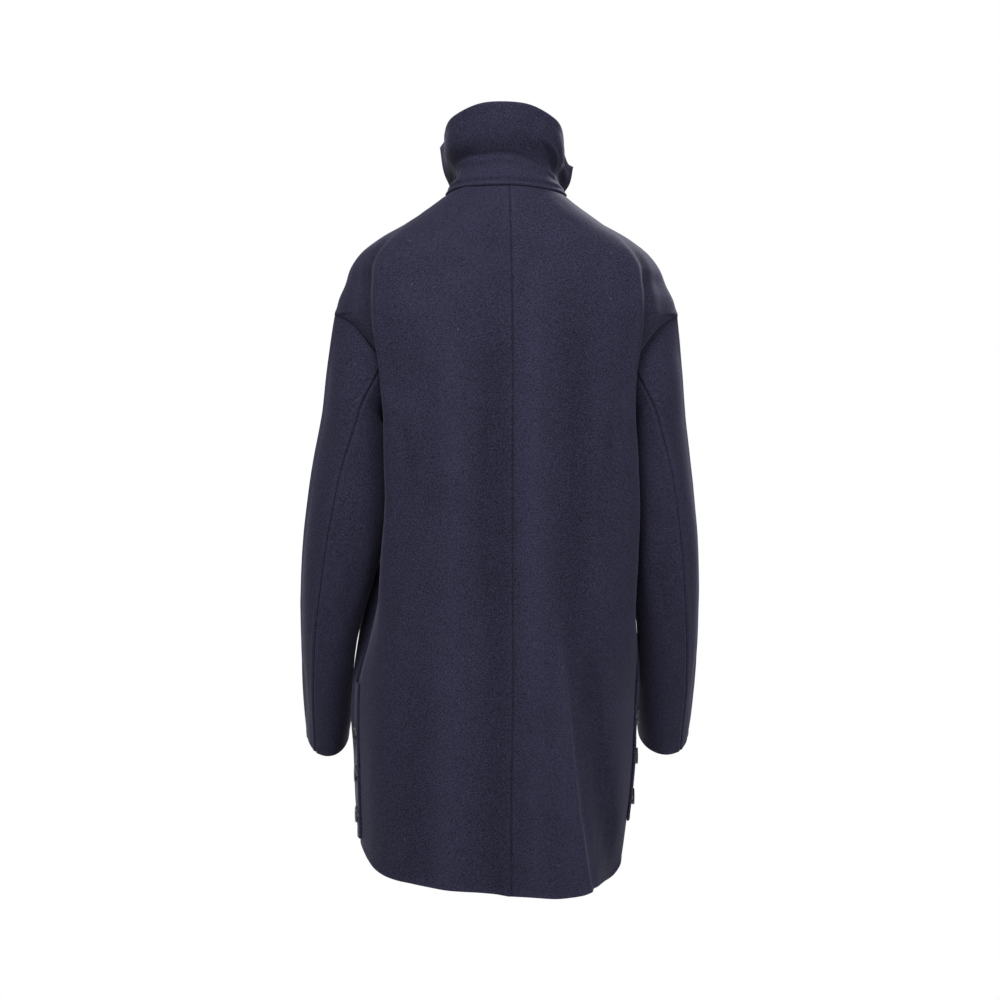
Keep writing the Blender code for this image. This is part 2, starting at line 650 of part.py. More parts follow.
def build_lapel(side, name, material):
    """A lapel folded back over its own front, from the roll to its point and edge."""
    along = np.linspace(0.03, 0.97 if side < 0 else 0.60, 13 if side < 0 else 9)
    across = np.linspace(0.0, 1.0, 8)
    grid = np.empty((len(along), len(across), 3))
    point_x, point_z = LAPEL_POINT
    for i, down in enumerate(along):
        height = GORGE + (BREAK_POINT - GORGE) * down
        roll_x = front_edge_x(height)
        belly = 6.0 * math.sin(math.pi * min(down, 1.0))
        edge_x = point_x + (-OVERLAP - point_x) * down**0.92 + belly
        edge_z = point_z + (BREAK_POINT - point_z) * down**0.92
        for j, share in enumerate(across):
            x = roll_x + (edge_x - roll_x) * share
            z = height + (edge_z - height) * share
            spot = front_spot(z, x)
            lift = wrap_lift(side, spot, z) + DOUBLED + 1.8 + 0.9 * share
            point = front_point(z, spot, lift)
            grid[i, j] = (side * point[0] + float(lean_at(z)), point[1], z)
    return cloth_object(f"lapel_{name}", grid, DOUBLED, material, flip=side > 0)


def build_button(name, place, normal, diameter, thickness, material):
    """A turned button with a raised rim and a short shank, facing along normal."""
    radius = diameter / 2
    profile = [
        (0.0, thickness * 0.62),
        (radius * 0.62, thickness * 0.66),
        (radius * 0.80, thickness),
        (radius * 0.93, thickness * 0.96),
        (radius, thickness * 0.62),
        (radius * 0.95, thickness * 0.22),
        (radius * 0.40, 0.0),
        (0.0, 0.0),
    ]
    mesh = bpy.data.meshes.new(name)
    points = [(r * MM, 0.0, z * MM) for r, z in profile]
    mesh.from_pydata(points, [(i, i + 1) for i in range(len(points) - 1)], [])
    obj = bpy.data.objects.new(name, mesh)
    turned = obj.modifiers.new("turned", "SCREW")
    turned.steps = turned.render_steps = 12
    turned.use_merge_vertices = True
    turned.merge_threshold = 0.00005
    turned.use_smooth_shade = True
    up = Vector(normal).normalized()
    obj.matrix_world = Matrix.Translation(Vector(place) * MM) @ up.to_track_quat("Z", "Y").to_matrix().to_4x4()
    mesh.materials.append(material)
    return obj


def front_buttons(material):
    """Two columns of buttons on the right front, which is the one on top."""
    made = []
    for row, height in enumerate(FRONT_BUTTON_ROWS, start=1):
        for name, x in (("left", -FRONT_BUTTON_X), ("right", FRONT_BUTTON_X)):
            spot = front_spot(height, x)
            seat = front_point(height, spot, wrap_lift(-1, spot, height) + BUTTON_GAP)
            top = front_point(height, spot, wrap_lift(-1, spot, height) + BUTTON_GAP + 10.0)
            mirror = np.array([-1.0, 1.0, 1.0])
            place = seat * mirror + (float(lean_at(height)), 0, 0)
            made.append(
                build_button(
                    f"button_{name}_{row}", place, (top - seat) * mirror,
                    FRONT_BUTTON_D, FRONT_BUTTON_T, material,
                )
            )
    return made


def vent_buttons(side, name, material):
    """The column of small buttons that closes one side vent."""
    made = []
    for row, above in enumerate(VENT_BUTTONS_ABOVE_HEM, start=1):
        height = front_hem(side * 165.0) + above
        place, out = lap_point(side, height, VENT_BUTTON_SPOT, LAP_LIFT + BUTTON_GAP)
        made.append(
            build_button(f"vent_button_{name}_{row}", place, out, VENT_BUTTON_D, VENT_BUTTON_T, material)
        )
    return made


def new_material(name, colour, roughness, metallic):
    """A Principled material with one colour, roughness and metallic value."""
    material = bpy.data.materials.new(name)
    material.use_nodes = True
    shader = material.node_tree.nodes["Principled BSDF"]
    shader.inputs["Base Color"].default_value = colour
    shader.inputs["Roughness"].default_value = roughness
    shader.inputs["Metallic"].default_value = metallic
    return material


def main():
    """Clears the scene and builds the coat's pieces in one collection."""
    for old in list(bpy.data.objects):
        bpy.data.objects.remove(old, do_unlink=True)
    coat = bpy.data.collections.new("coat")
    bpy.context.scene.collection.children.link(coat)
    wool, horn = new_material(*WOOL), new_material(*HORN)
    pieces = [build_collar(wool)]
    for side, name in ((1, "left"), (-1, "right")):
        pieces.append(build_back(side, name, wool))
        pieces.append(build_front(side, name, wool))
        pieces.append(build_lapel(side, name, wool))
        pieces += build_sleeve(side, name, wool)
        pieces += vent_buttons(side, name, horn)
    pieces += front_buttons(horn)
    for piece in pieces:
        coat.objects.link(piece)


main()
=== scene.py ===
"""The look of a double-breasted coat in navy double-faced wool, worn, with its collar turned up.

Millimetres in the tables and the grids, metres in the meshes. +Z is up, -Y is the front and +X is
the wearer's left. Every panel is a fine grid over the same level sections as its solid, with listed
soft folds laid on, and the wall of cloth is made from that grid.
"""

from __future__ import annotations

import logging
import math
from dataclasses import dataclass, field
from enum import Enum
from typing import Any, Callable, Sequence

import bmesh
import bpy
import numpy as np
from mathutils import Matrix, Vector, noise
from mathutils.kdtree import KDTree


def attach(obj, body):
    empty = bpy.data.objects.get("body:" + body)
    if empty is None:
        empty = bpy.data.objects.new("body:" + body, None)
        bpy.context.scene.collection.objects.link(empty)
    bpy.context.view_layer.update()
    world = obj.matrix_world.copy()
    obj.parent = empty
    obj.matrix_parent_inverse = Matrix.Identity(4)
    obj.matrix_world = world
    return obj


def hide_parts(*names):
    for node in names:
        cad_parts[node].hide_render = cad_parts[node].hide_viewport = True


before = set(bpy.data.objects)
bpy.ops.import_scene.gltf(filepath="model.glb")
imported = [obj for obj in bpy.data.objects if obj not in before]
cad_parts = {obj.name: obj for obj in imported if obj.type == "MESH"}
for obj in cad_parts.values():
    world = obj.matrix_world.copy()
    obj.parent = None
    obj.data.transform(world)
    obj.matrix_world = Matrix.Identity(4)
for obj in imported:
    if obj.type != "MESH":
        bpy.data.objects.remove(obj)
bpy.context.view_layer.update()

LOG = logging.getLogger("coat")
Colour = tuple[float, float, float, float]
Placed = tuple[np.ndarray, np.ndarray]  # a place on the cloth, and the way out of it
MM = 0.001
CLOSE = (0.3, 0.8, 1.5, 2.6, 4.2)  # mm from an edge where the grid is finer, to round the cloth
SLEEVE_ROUND = 0.9  # mm round a sleeve for each degree
SIDES = ((1, "left"), (-1, "right"))
TINY = 1e-6  # how far a place may miss its knot
FAR = 99.0  # mm, further than any edge

# Torso: height, half width, dent under the arm, depth to the back and to the front, front's swell
TORSO = np.array([
    (-870, 156, 0, 120, 129, 0),
    (-813, 160, 0, 126, 136, 0),
    (-763, 165, 0, 130, 141, 2),
    (-688, 169.5, 0, 131, 144, 4),
    (-638, 170.5, 0, 129, 143, 7.5),
    (-588, 170.5, 0.5, 127, 141, 7.8),
    (-538, 167, 4, 124, 139, 5),
    (-463, 161, 12, 121, 137, 2),
    (-388, 156, 16, 119, 136, 0),
    (-313, 156, 19, 117, 137, 0),
], float)
# How much further the left front swells out beside the sleeve: height, distance
LEFT_SWELL = np.array([
    (-600, 0), (-575, 2), (-553, 8), (-530, 12.8), (-500, 12), (-463, 8.5), (-420, 3.5), (-380, 0),
], float)
# How far the worn coat has swung to the wearer's left: height, distance
LEAN = np.array([
    (-870, 16.5), (-813, 17), (-763, 14.5), (-688, 11.8), (-638, 11.5), (-588, 8.5), (-538, 1.5),
    (-463, -1), (-388, -6), (-313, -4), (-240, -1), (-137, -1.6), (-62, 0.7), (0, 0),
], float)
# How far the back neck seam arches up over the nape: x, rise
NECK_RISE = np.array([
    (-73, 0), (-61, 2.8), (-30, 7.4), (0, 9.2), (30, 8.6), (61, 5.4), (73, 0),
], float)
# Back hem: place from the centre 0 to the side seam 1, rise on the left, rise on the right
BACK_HEM = np.array([
    (0, 0, 0), (0.12, 4.2, -1.2), (0.30, 8.1, -3.6), (0.45, 14, -0.4), (0.60, 20.5, 9.5),
    (0.72, 30, 14), (0.84, 47, 25), (1, 56, 35),
], float)
# Yoke, armpit up: height, depth at the centre, roundness, fold x y, turn x y, outer edge x y
BACK_YOKE = np.array([
    (-268, 115, 0.13, 155, 71, 143, 32, 134, 0),
    (-250, 114, 0.13, 156, 73, 148, 54, 138, 36),
    (-212, 112, 0.13, 157, 76, 160, 66, 152, 53),
    (-163, 107.2, 0.14, 163.5, 76, 178, 57, 186, 38),
    (-148, 105, 0.14, 165, 75, 189, 46, 211, 8),
    (-137, 103, 0.14, 165, 74, 189, 44, 209, 8),
    (-112, 98, 0.15, 163, 70, 182.6, 40, 198.4, 7),
    (-87, 92, 0.17, 159, 64, 178.5, 35, 188.3, 6),
    (-62, 85, 0.20, 142, 56, 157, 30, 165.7, 4),
    (-37, 76, 0.24, 109, 48, 119.5, 25, 125, 2),
    (-12, 66, 0.30, 76, 40, 84.5, 20, 88, 1),
    (0, 60, 0.33, 61, 36, 70, 18, 73, 0),
], float)
FRONT_YOKE = np.array([
    (-268, 136, 0.10, 150, 86, 143, 34, 134, 0),
    (-250, 135, 0.10, 150, 87, 149, 58, 139, 36),
    (-212, 132, 0.10, 150, 87, 160, 70, 155, 52),
    (-163, 124.4, 0.12, 155.3, 79.3, 178.5, 53.5, 187, 36),
    (-148, 121, 0.12, 156.5, 76, 188, 43.5, 211, -8),
    (-137, 118, 0.13, 157, 74, 187, 41, 209, -8),
    (-112, 111, 0.15, 155, 68, 180.6, 37, 198.4, -7),
    (-87, 102, 0.17, 151, 62, 176, 33, 188.3, -6),
    (-62, 92, 0.20, 136, 56, 155, 29, 165.7, -4),
    (-37, 80, 0.24, 107, 50, 118.5, 26, 125, -2),
    (-12, 68, 0.29, 76, 42, 84.5, 21, 88, -1),
    (0, 62, 0.33, 61, 37, 70, 18, 73, 0),
], float)
FEATURE_SPOTS = np.array([0.0, 0.30, 0.66, 0.84, 1.0])  # centre, blade, fold, turn, outer edge
# Centre-back seam, which waves a little: height, x
CENTRE_SEAM = np.array([
    (-870, -2.0), (-775, -0.6), (-600, -2.9), (-400, -2.7), (-150, -3.5), (0, -2.2),
], float)
# Main folds of the back: x, width, depth. The last one grows between FOLD_GROWS's two heights
BACK_FOLDS = ((-30.0, 16.0, 3.5), (16.0, 18.0, -3.5), (78.0, 22.0, 2.5), (-78.0, 20.0, -3.0))
FOLD_GROWS = (-620.0, -480.0)

# Sleeve rings: outer x, inner x, y, z, half depth, outer side up, back side down, and the lean to
# the left of the outside and of the inside
SLEEVE = np.array([
    (219, 146.5, 0, -246, 56, 42, 0, 0.5, -1),
    (224.5, 145.5, -3, -292, 59, 27, 0, 1.5, -3),
    (233, 145, -5, -338, 61, 13, 1, 3.5, -4),
    (240, 146, -5, -388, 62, 4, 4, 4.5, -4),
    (245.5, 157, -9, -463, 61, 0, 10, 5.3, 1.5),
    (246, 173, -24, -538, 59, 0, 17, 5.3, 7.2),
    (244.5, 178.2, -47, -600, 57, 0, 23, 5, 9.4),
    (242, 178.5, -68, -643, 55, 0, 27, 5, 10.1),
    (239.5, 182.6, -80.5, -669.5, 54, 0, 28, 5, 9.9),
], float)
# Armhole seam, from the outside of the arm round the back: x, y, z
ARMHOLE = np.array([
    (211, 8, -148), (186, 38, -163), (152, 53, -207), (138, 36, -250), (134, 0, -268),
    (139, -36, -250), (155, -52, -207), (187, -36, -163),
], float)
# Overarm and back seams of a sleeve: how far down, degrees from the outside towards the back of each
SLEEVE_SEAMS = np.array([
    (0, 0, 90), (0.10, 12, 103), (0.20, 13, 87), (0.30, 12, 74), (0.42, 9, 66), (0.6, 6, 61),
    (0.8, 6, 56), (1, 6, 54),
], float)
# Collar, from its right front end round the nape to the left one:
# place, x, y and z of the seam, height, crease in, flare out at the top
COLLAR = np.array([
    (-1, -77, -54, -18, 59, 1, 15),
    (-0.88, -76.3, -40, -9, 54, 3, 7.5),
    (-0.76, -74.5, -26, -2, 64, 5, 2.2),
    (-0.60, -73.5, 0, 0, 72, 9, 2),
    (-0.37, -61, 34, 0, 90.5, 10, 3.5),
    (-0.17, -30, 52, 0, 105.5, 8.5, 4),
    (0, 0, 60, 0, 108.3, 7.5, 4),
    (0.17, 30, 52, 0, 106.5, 8.5, 4),
    (0.37, 60, 34, 0, 93, 11, 3.5),
    (0.60, 71, 0, 0, 76, 10, 1),
    (0.76, 67.6, -26, -1.5, 73, 6, 3.5),
    (1, 65, -56, -24, 89, 2, 11),
], float)


def smooth(knots: Any, values: Any, at: Any) -> np.ndarray:
    """A smooth curve through values.

    Args:
        knots: Rising places of the values.
        values: One value or one row of values for each knot.
        at: Where to read the curve.

    Returns:
        The values at those places.
    """
    knots, values = np.asarray(knots, float), np.asarray(values, float)
    at = np.clip(np.asarray(at, float), knots[0], knots[-1])
    slopes = np.gradient(values, knots, axis=0)
    i = np.clip(np.searchsorted(knots, at, side="right") - 1, 0, len(knots) - 2)
    step = knots[i + 1] - knots[i]
    t = (at - knots[i]) / step
    if values.ndim > 1:
        t, step = t[..., None], step[..., None]
    return (
        values[i] * (1 + 2 * t) * (1 - t) ** 2
        + values[i + 1] * t**2 * (3 - 2 * t)
        + slopes[i] * step * t * (1 - t) ** 2
        - slopes[i + 1] * step * t**2 * (1 - t)
    )


def ease(low: float, high: float, value: Any) -> Any:
    """0 below low, 1 above high, and smooth between them."""
    t = np.clip((value - low) / (high - low), 0.0, 1.0)
    return t * t * (3 - 2 * t)


def bell(value: Any, middle: float, width: float) -> Any:
    """1 at the middle, fading smoothly to both sides."""
    return np.exp(-(((value - middle) / width) ** 2))


def groove(distance: np.ndarray, width: float) -> np.ndarray:
    """1 at an edge, rounded off to 0 at a distance."""
    return (1 - np.minimum(distance / width, 1.0)) ** 2


def run_along(grid: np.ndarray, axis: int) -> np.ndarray:
    """Distance from the first point of each line of a grid, along one of its axes."""
    start = [(0, 0), (0, 0)]
    start[axis] = (1, 0)
    return np.cumsum(np.pad(np.linalg.norm(np.diff(grid, axis=axis), axis=2), start), axis=axis)


def unit(vectors: np.ndarray) -> np.ndarray:
    """The vectors along the last axis, each of length 1."""
    return vectors / np.maximum(np.linalg.norm(vectors, axis=-1), 1e-9)[..., None]


@dataclass(frozen=True)
class CoatForm:
    """The worn coat's own shape, which all its panels share. Sizes are in millimetres."""

    cloth: float = 2.4
    doubled: float = 3.4
    back_length: float = 852.0
    front_hem: float = -780.5
    front_tilt: float = -10.5
    armpit: float = -268.0
    sleeve_head: float = -148.0
    overlap: float = 95.0
    break_point: float = -262.0
    gorge: float = -24.0
    neck_half: float = 71.6
    roll_bow: float = 0.06
    vent_top: float = -600.0
    lap_lift: float = 3.4
    side_x: float = 165.0
    hem_fade: float = -680.0
    deep_fold_top: float = -500.0
    deep_fold_depth: float = 25.0
    deep_fold_path: tuple[float, float, float] = (-62.0, -12.0, -24.0)
    deep_crest: tuple[float, float] = (0.6, 18.0)
    deep_trough: tuple[float, float] = (29.0, 16.0)

    def section_table(self, face: str) -> np.ndarray:
        """The level sections of the back or the front, from the hem up to the neck."""
        height, width, dent = TORSO[:, 0], TORSO[:, 1], TORSO[:, 2]
        back = face == "back"
        depth = TORSO[:, 3] if back else TORSO[:, 4]
        pushed = np.clip(dent / 16.0, 0.0, 1.0)
        columns = [
            height,
            depth,
            np.full_like(height, 0.12),
            width * (0.88 + 0.12 * pushed) - (0.0 if back else 4.0) * pushed,
            depth * 0.60,
            width * 0.985 - 0.55 * dent + (0.0 if back else TORSO[:, 5]),
            depth * 0.26,
            width - dent,
            np.zeros_like(height),
        ]
        return np.vstack([np.column_stack(columns), BACK_YOKE if back else FRONT_YOKE])

    def lean(self, height: Any) -> Any:
        """How far the worn coat has swung to the wearer's left at a height."""
        return smooth(LEAN[:, 0], LEAN[:, 1], height)

    def armhole(self, angles: Any) -> np.ndarray:
        """Points of the left armhole seam, at degrees from the outside round the back."""
        turns = np.arange(-2, len(ARMHOLE) + 3)
        return smooth(turns * 45.0, ARMHOLE[turns % len(ARMHOLE)], np.asarray(angles) % 360.0)

    def armhole_edge(self, face: str, height: float) -> tuple[float, float]:
        """x and depth where the armhole seam cuts a level section of the back or the front."""
        low = 0.0 if face == "back" else 180.0
        ring = self.armhole(np.linspace(low, low + 180.0 - 1e-6, 181))
        ring = ring[np.argsort(ring[:, 2])]
        x, y = (float(np.interp(height, ring[:, 2], ring[:, axis])) for axis in (0, 1))
        return x, y if face == "back" else -y

    def features(self, face: str, height: float) -> np.ndarray:
        """Centre, blade, fold, turn and outer edge of a level section, on the wearer's left."""
        table = SECTIONS[face]
        row = smooth(table[:, 0], table[:, 1:], height)
        depth, round_, fold_x, fold_y, turn_x, turn_y, out_x, out_y = row
        if self.armpit <= height <= self.sleeve_head:
            out_x, out_y = self.armhole_edge(face, height)
        blade = (0.5 * fold_x, depth - round_ * (depth - fold_y))
        return np.array([(0.0, depth), blade, (fold_x, fold_y), (turn_x, turn_y), (out_x, out_y)])

    def section(self, face: str, height: float, spots: np.ndarray) -> np.ndarray:
        """Points of a level section.

        Args:
            face: "back" or "front".
            height: Height of the section.
            spots: Places on it, from 0 at the centre to 1 at the outer edge.

        Returns:
            x and depth at each spot.
        """
        points = self.features(face, height)
        other = self.features("front" if face == "back" else "back", height)
        before, after = points[1] * (-1.0, 1.0), other[3] * (1.0, -1.0)
        if self.armpit < height < self.sleeve_head:
            after = 2 * points[4] - points[3]
        knots = np.concatenate([[-FEATURE_SPOTS[1]], FEATURE_SPOTS, [2.0 - FEATURE_SPOTS[3]]])
        return smooth(knots, np.vstack([before, points, after]), np.abs(spots))

    def front_spot(self, height: float, x: float) -> float:
        """The signed spot on the front's section where it is x from the centre line."""
        spots = np.linspace(0.0, 0.8, 121)
        across = self.section("front", height, spots)[:, 0]
        return math.copysign(float(np.interp(abs(x), across, spots)), x)

    def front_point(self, height: float, spot: float, lift: float = 0.0) -> np.ndarray:
        """A point of the front's section, moved out. A negative spot is past the centre line."""
        spots = np.array([abs(spot) - 0.004, abs(spot), abs(spot) + 0.004])
        x, depth = self.section("front", height, spots).T
        along = unit(np.array([x[2] - x[0], depth[2] - depth[0]]))
        x, depth = x[1] - along[1] * lift, depth[1] + along[0] * lift
        return np.array([math.copysign(x, spot) if spot else 0.0, -depth, height])

    def back_hem(self, spot: float, side: int) -> float:
        """How far the back hem has risen above its lowest point."""
        return float(smooth(BACK_HEM[:, 0], BACK_HEM[:, 1 if side > 0 else 2], spot))

    def front_hem_at(self, x: float) -> float:
        """Height of the front hem at x across the coat."""
        return self.front_hem + self.front_tilt * x / 170.0

    def soft_folds(self, x: float, height: float, side: int) -> float:
        """Depth added to the back by its main folds and by the deep fold on the right."""
        *steady, growing = [depth * bell(x, middle, width) for middle, width, depth in BACK_FOLDS]
        folds = sum(steady) + growing * ease(*FOLD_GROWS, height)
        if side < 0:
            reach = self.back_length + self.deep_fold_top
            drop = np.clip((self.deep_fold_top - height) / reach, 0.0, 1.0)
            ridge = np.polynomial.polynomial.polyval(drop, self.deep_fold_path)
            share, width = self.deep_crest
            behind, trough_width = self.deep_trough
            wave = share * bell(x, ridge, width) - bell(x, ridge - behind, trough_width)
            folds += self.deep_fold_depth * drop**1.25 * wave
        return float(ease(-60.0, -220.0, height) * folds)

    def neck_rise(self, x: Any, y: Any) -> Any:
        """How far the back neck seam has risen at a place on it."""
        return smooth(NECK_RISE[:, 0], NECK_RISE[:, 1], x) * ease(0.0, 16.0, y)

    def back_point(self, side: int, height: float, spot: float) -> np.ndarray:
        """A point of the back's outer face, on the wearer's left for side 1 and right for -1."""
        x, depth = self.section("back", height, np.array([spot]))[0]
        settled = float(ease(0.0, 0.6, abs(spot)))
        seam = float(smooth(CENTRE_SEAM[:, 0], CENTRE_SEAM[:, 1], height))
        x = side * math.copysign(x, spot)
        x += settled * float(self.lean(height)) + (1 - settled) * seam
        fade = 1.0 - float(ease(0.75, 0.97, spot))
        rise = float(ease(-60.0, 0.0, height) * self.neck_rise(x, depth))
        return np.array([x, depth + fade * self.soft_folds(x, height, side), height + rise])

    def rows_from(self, hem: float) -> np.ndarray:
        """Heights of a panel's rows, with the vent's top and the sleeve's own places among them."""
        vent = np.linspace(hem, self.vent_top, 5)[:-1]
        lower = np.linspace(self.vent_top, self.armpit, 7)[:-1]
        ring = self.armhole(np.linspace(180.0, 0.0, 25))[:-1, 2]
        return np.concatenate([vent, lower, ring, np.linspace(self.sleeve_head, 0.0, 9)])

    def front_edge(self, height: float) -> float:
        """How far past the centre line a front reaches: its edge, then the roll of its lapel."""
        roll = (height - self.break_point) / (self.gorge - self.break_point)
        if roll <= 0:
            return -self.overlap
        if roll >= 1:
            return self.neck_half
        bowed = roll - self.roll_bow * math.sin(math.pi * roll)
        return -self.overlap + (self.neck_half + self.overlap) * bowed

    def wrap_lift(self, side: int, spot: float, height: float) -> float:
        """The right front lies over the left one, and lifts over the lapel tucked under it."""
        if side > 0:
            return 0.0
        over = self.cloth + 1.8 + 5.4 * float(ease(self.armpit, -200.0, height))
        return over * (1.0 - float(ease(0.36, 0.60, spot)))

    def lap_point(
        self, side: int, height: float, spot: float, lift: float
    ) -> Placed:
        """A point over the back in the vent, and the way it is lifted off the back."""
        near, point, far = (
            self.back_point(side, height, spot + step) for step in (-0.03, 0.0, 0.03)
        )
        along = unit((near - far)[:2])
        out = side * np.array([along[1], -along[0], 0.0])
        return point + lift * out, out

    def front_place(self, side: int, height: float, spot: float) -> np.ndarray:
        """A point of a worn front's outer face, with its hem's tilt, its wrap and its lap."""
        near_hem = 1.0 - float(ease(self.front_hem, self.hem_fade, height))
        vent = 1.0 - float(ease(self.vent_top, self.vent_top + 60.0, height))
        across = side * math.copysign(self.section("front", height, np.array([spot]))[0, 0], spot)
        z = height + near_hem * (self.front_hem_at(across) - self.front_hem)
        lift = self.wrap_lift(side, spot, z) + self.lap_lift * vent * float(ease(0.70, 0.95, spot))
        x, y, _ = self.front_point(z, spot, lift)
        return np.array([side * x + float(self.lean(z)) + self.left_swell(side, z, spot), y, z])

    def left_swell(self, side: int, height: float, spot: float) -> float:
        """How much further the left front swells out beside the sleeve."""
        if side < 0:
            return 0.0
        beside = float(ease(0.60, 0.82, spot) * (1 - ease(0.86, 1.0, spot)))
        return beside * float(smooth(LEFT_SWELL[:, 0], LEFT_SWELL[:, 1], height))

    def sleeve_ring(self, row: np.ndarray, angles: np.ndarray) -> np.ndarray:
        """Points round one ring of a sleeve as if it were on the wearer's left."""
        outer, inner, y, z, half_depth, raised, bent = row[:7]
        turn, raised, bent = np.radians(angles), math.radians(raised), math.radians(bent)
        across, back = (outer - inner) / 2 * np.cos(turn), half_depth * np.sin(turn)
        return np.column_stack(
            [
                (outer + inner) / 2 + across,
                y + back * math.cos(bent),
                z + across * math.tan(raised) - back * math.sin(bent),
            ]
        )

    def sleeve_grid(self, side: int, angle_rows: np.ndarray, downs: np.ndarray) -> np.ndarray:
        """Sleeve points in rows at shares of its length, each row with its own angles."""
        middle = np.column_stack([SLEEVE[:, :2].mean(axis=1), SLEEVE[:, 2:4]])
        steps = np.linalg.norm(np.diff(middle, axis=0), axis=1)
        knots = np.cumsum(np.concatenate([[0.0, 55.0], steps]))
        knots /= knots[-1]
        grid = np.empty((len(downs), angle_rows.shape[1], 3))
        for i, (down, angles) in enumerate(zip(downs, angle_rows)):
            rings = [self.armhole(angles)] + [self.sleeve_ring(row, angles) for row in SLEEVE]
            rings = np.stack(rings).reshape(len(rings), -1)
            point = smooth(knots, rings, np.array([down]))[0].reshape(-1, 3)
            settled = min(1.0, down / knots[1])
            outside = (1 + np.cos(np.radians(angles))) / 2 * settled
            leans = smooth(knots[1:], SLEEVE[:, 7:9], np.array([down]))[0]
            outer_lean, inner_lean = settled * leans
            body_lean = (1 - settled) * self.lean(point[:, 2])
            lean = outside * outer_lean + (1 - outside) * (inner_lean + body_lean)
            grid[i] = point
            grid[i, :, 0] = side * point[:, 0] + lean
        return grid


FORM = CoatForm()
SECTIONS = {face: FORM.section_table(face) for face in ("back", "front")}


@dataclass(frozen=True)
class Crease:
    """A soft ridge on the cloth, or a trough where its height is negative.

    Attributes:
        path: Places that it runs through, on the panel's own chart in millimetres.
        width: How wide it is, from its middle to where it has faded.
        height: How far it stands up or sinks in.
        lean: How much steeper one flank is.
        open_end: Whether it runs at full height into its last place, as at a hem.
    """

    path: tuple[tuple[float, float], ...]
    width: float
    height: float
    lean: float = 0.0
    open_end: bool = False

    def relief(self, chart: np.ndarray) -> np.ndarray:
        """The height that the crease adds at each place of a chart."""
        path = np.array(self.path)
        path = smooth(np.linspace(0, 1, len(path)), path, np.linspace(0, 1, 13))
        best = np.full(chart.shape[:-1], 1e9)
        along, side = np.zeros_like(best), np.zeros_like(best)
        for i, (start, end) in enumerate(zip(path[:-1], path[1:])):
            step = end - start
            share = np.clip((chart - start) @ step / (step @ step), 0.0, 1.0)
            gap = chart - start - share[..., None] * step
            distance = np.linalg.norm(gap, axis=-1)
            nearer = distance < best
            best = np.where(nearer, distance, best)
            along = np.where(nearer, (i + share) / (len(path) - 1), along)
            side = np.where(nearer, np.sign(step[0] * gap[..., 1] - step[1] * gap[..., 0]), side)
        fade = ease(0.0, 0.35, along) * (1.0 if self.open_end else ease(1.0, 0.6, along))
        across = best / self.width
        flank = 1.0 + self.lean * side * np.minimum(across, 1.5)
        return self.height * fade * bell(across, 0.0, 1.0) * flank


BACK_CREASES = (
    Crease(
        ((110, 40), (146, -55), (164, -85), (166, -165), (161, -235), (164, -330), (164, -470)),
        7.5, 1.8,
    ),
    Crease(
        ((120, 40), (158, -55), (178, -85), (179, -165), (173, -235), (176, -330), (176, -470)),
        9.0, -5.5,
    ),
    Crease(
        ((-110, 40), (-144, -55), (-162, -85), (-165, -165), (-161, -235), (-166, -330), (-168, -480)),
        7.5, 1.8,
    ),
    Crease(
        ((-120, 40), (-156, -55), (-176, -85), (-178, -165), (-173, -235), (-178, -330), (-180, -480)),
        9.0, -5.5,
    ),
    Crease(
        ((-60, -515), (-63, -560), (-71, -663), (-79, -735), (-90, -795), (-105, -862)),
        5.0, 2.4, 0.0, True,
    ),
    Crease(
        ((-70, -520), (-73, -560), (-82, -663), (-91, -735), (-102, -795), (-117, -862)),
        8.0, -3.2, 0.0, True,
    ),
    Crease(((22, -170), (24, -330), (21, -500), (24, -600)), 15, -2.6, 0.2),
    Crease(((-19, -150), (-17, -320), (-20, -520), (-24, -640)), 13, 1.6, 0.2),
    Crease(((-93, -170), (-90, -330), (-88, -520)), 15, -2.0, 0.2),
    Crease(((70, -150), (63, -300), (67, -480)), 17, 1.3, 0.3),
    Crease(((99, -185), (93, -330), (88, -540)), 15, -1.5, 0.3),
    Crease(((152, -262), (130, -305), (112, -392)), 9, -2.0),
    Crease(((160, -232), (142, -285), (127, -372)), 8, 1.4),
    Crease(((-147, -256), (-131, -300), (-119, -362), (-114, -440)), 9, -2.2),
    Crease(((-154, -236), (-142, -288), (-131, -352)), 7, 1.4),
    Crease(((42, -58), (4, -68), (-36, -57)), 12, -0.8),
    Crease(((104, -550), (112, -680), (117, -815)), 22, -1.9, 0.3, True),
    Crease(((70, -540), (75, -660), (79, -845)), 18, 1.5, -0.3, True),
    Crease(((-136, -560), (-141, -700), (-138, -805)), 14, 1.8, 0.0, True),
    Crease(((-57, -400), (-70, -510), (-83, -610)), 13, -1.4),
    Crease(((22, -378), (54, -394), (92, -384)), 18, -0.7),
    Crease(((-20, -600), (-26, -700), (-24, -850)), 17, -1.3, 0.2, True),
    Crease(((30, -470), (38, -600), (36, -720)), 16, 0.9),
    Crease(((120, -96), (132, -150), (128, -215)), 14, 0.9),
    Crease(((-112, -98), (-128, -150), (-122, -225)), 14, 0.9),
)
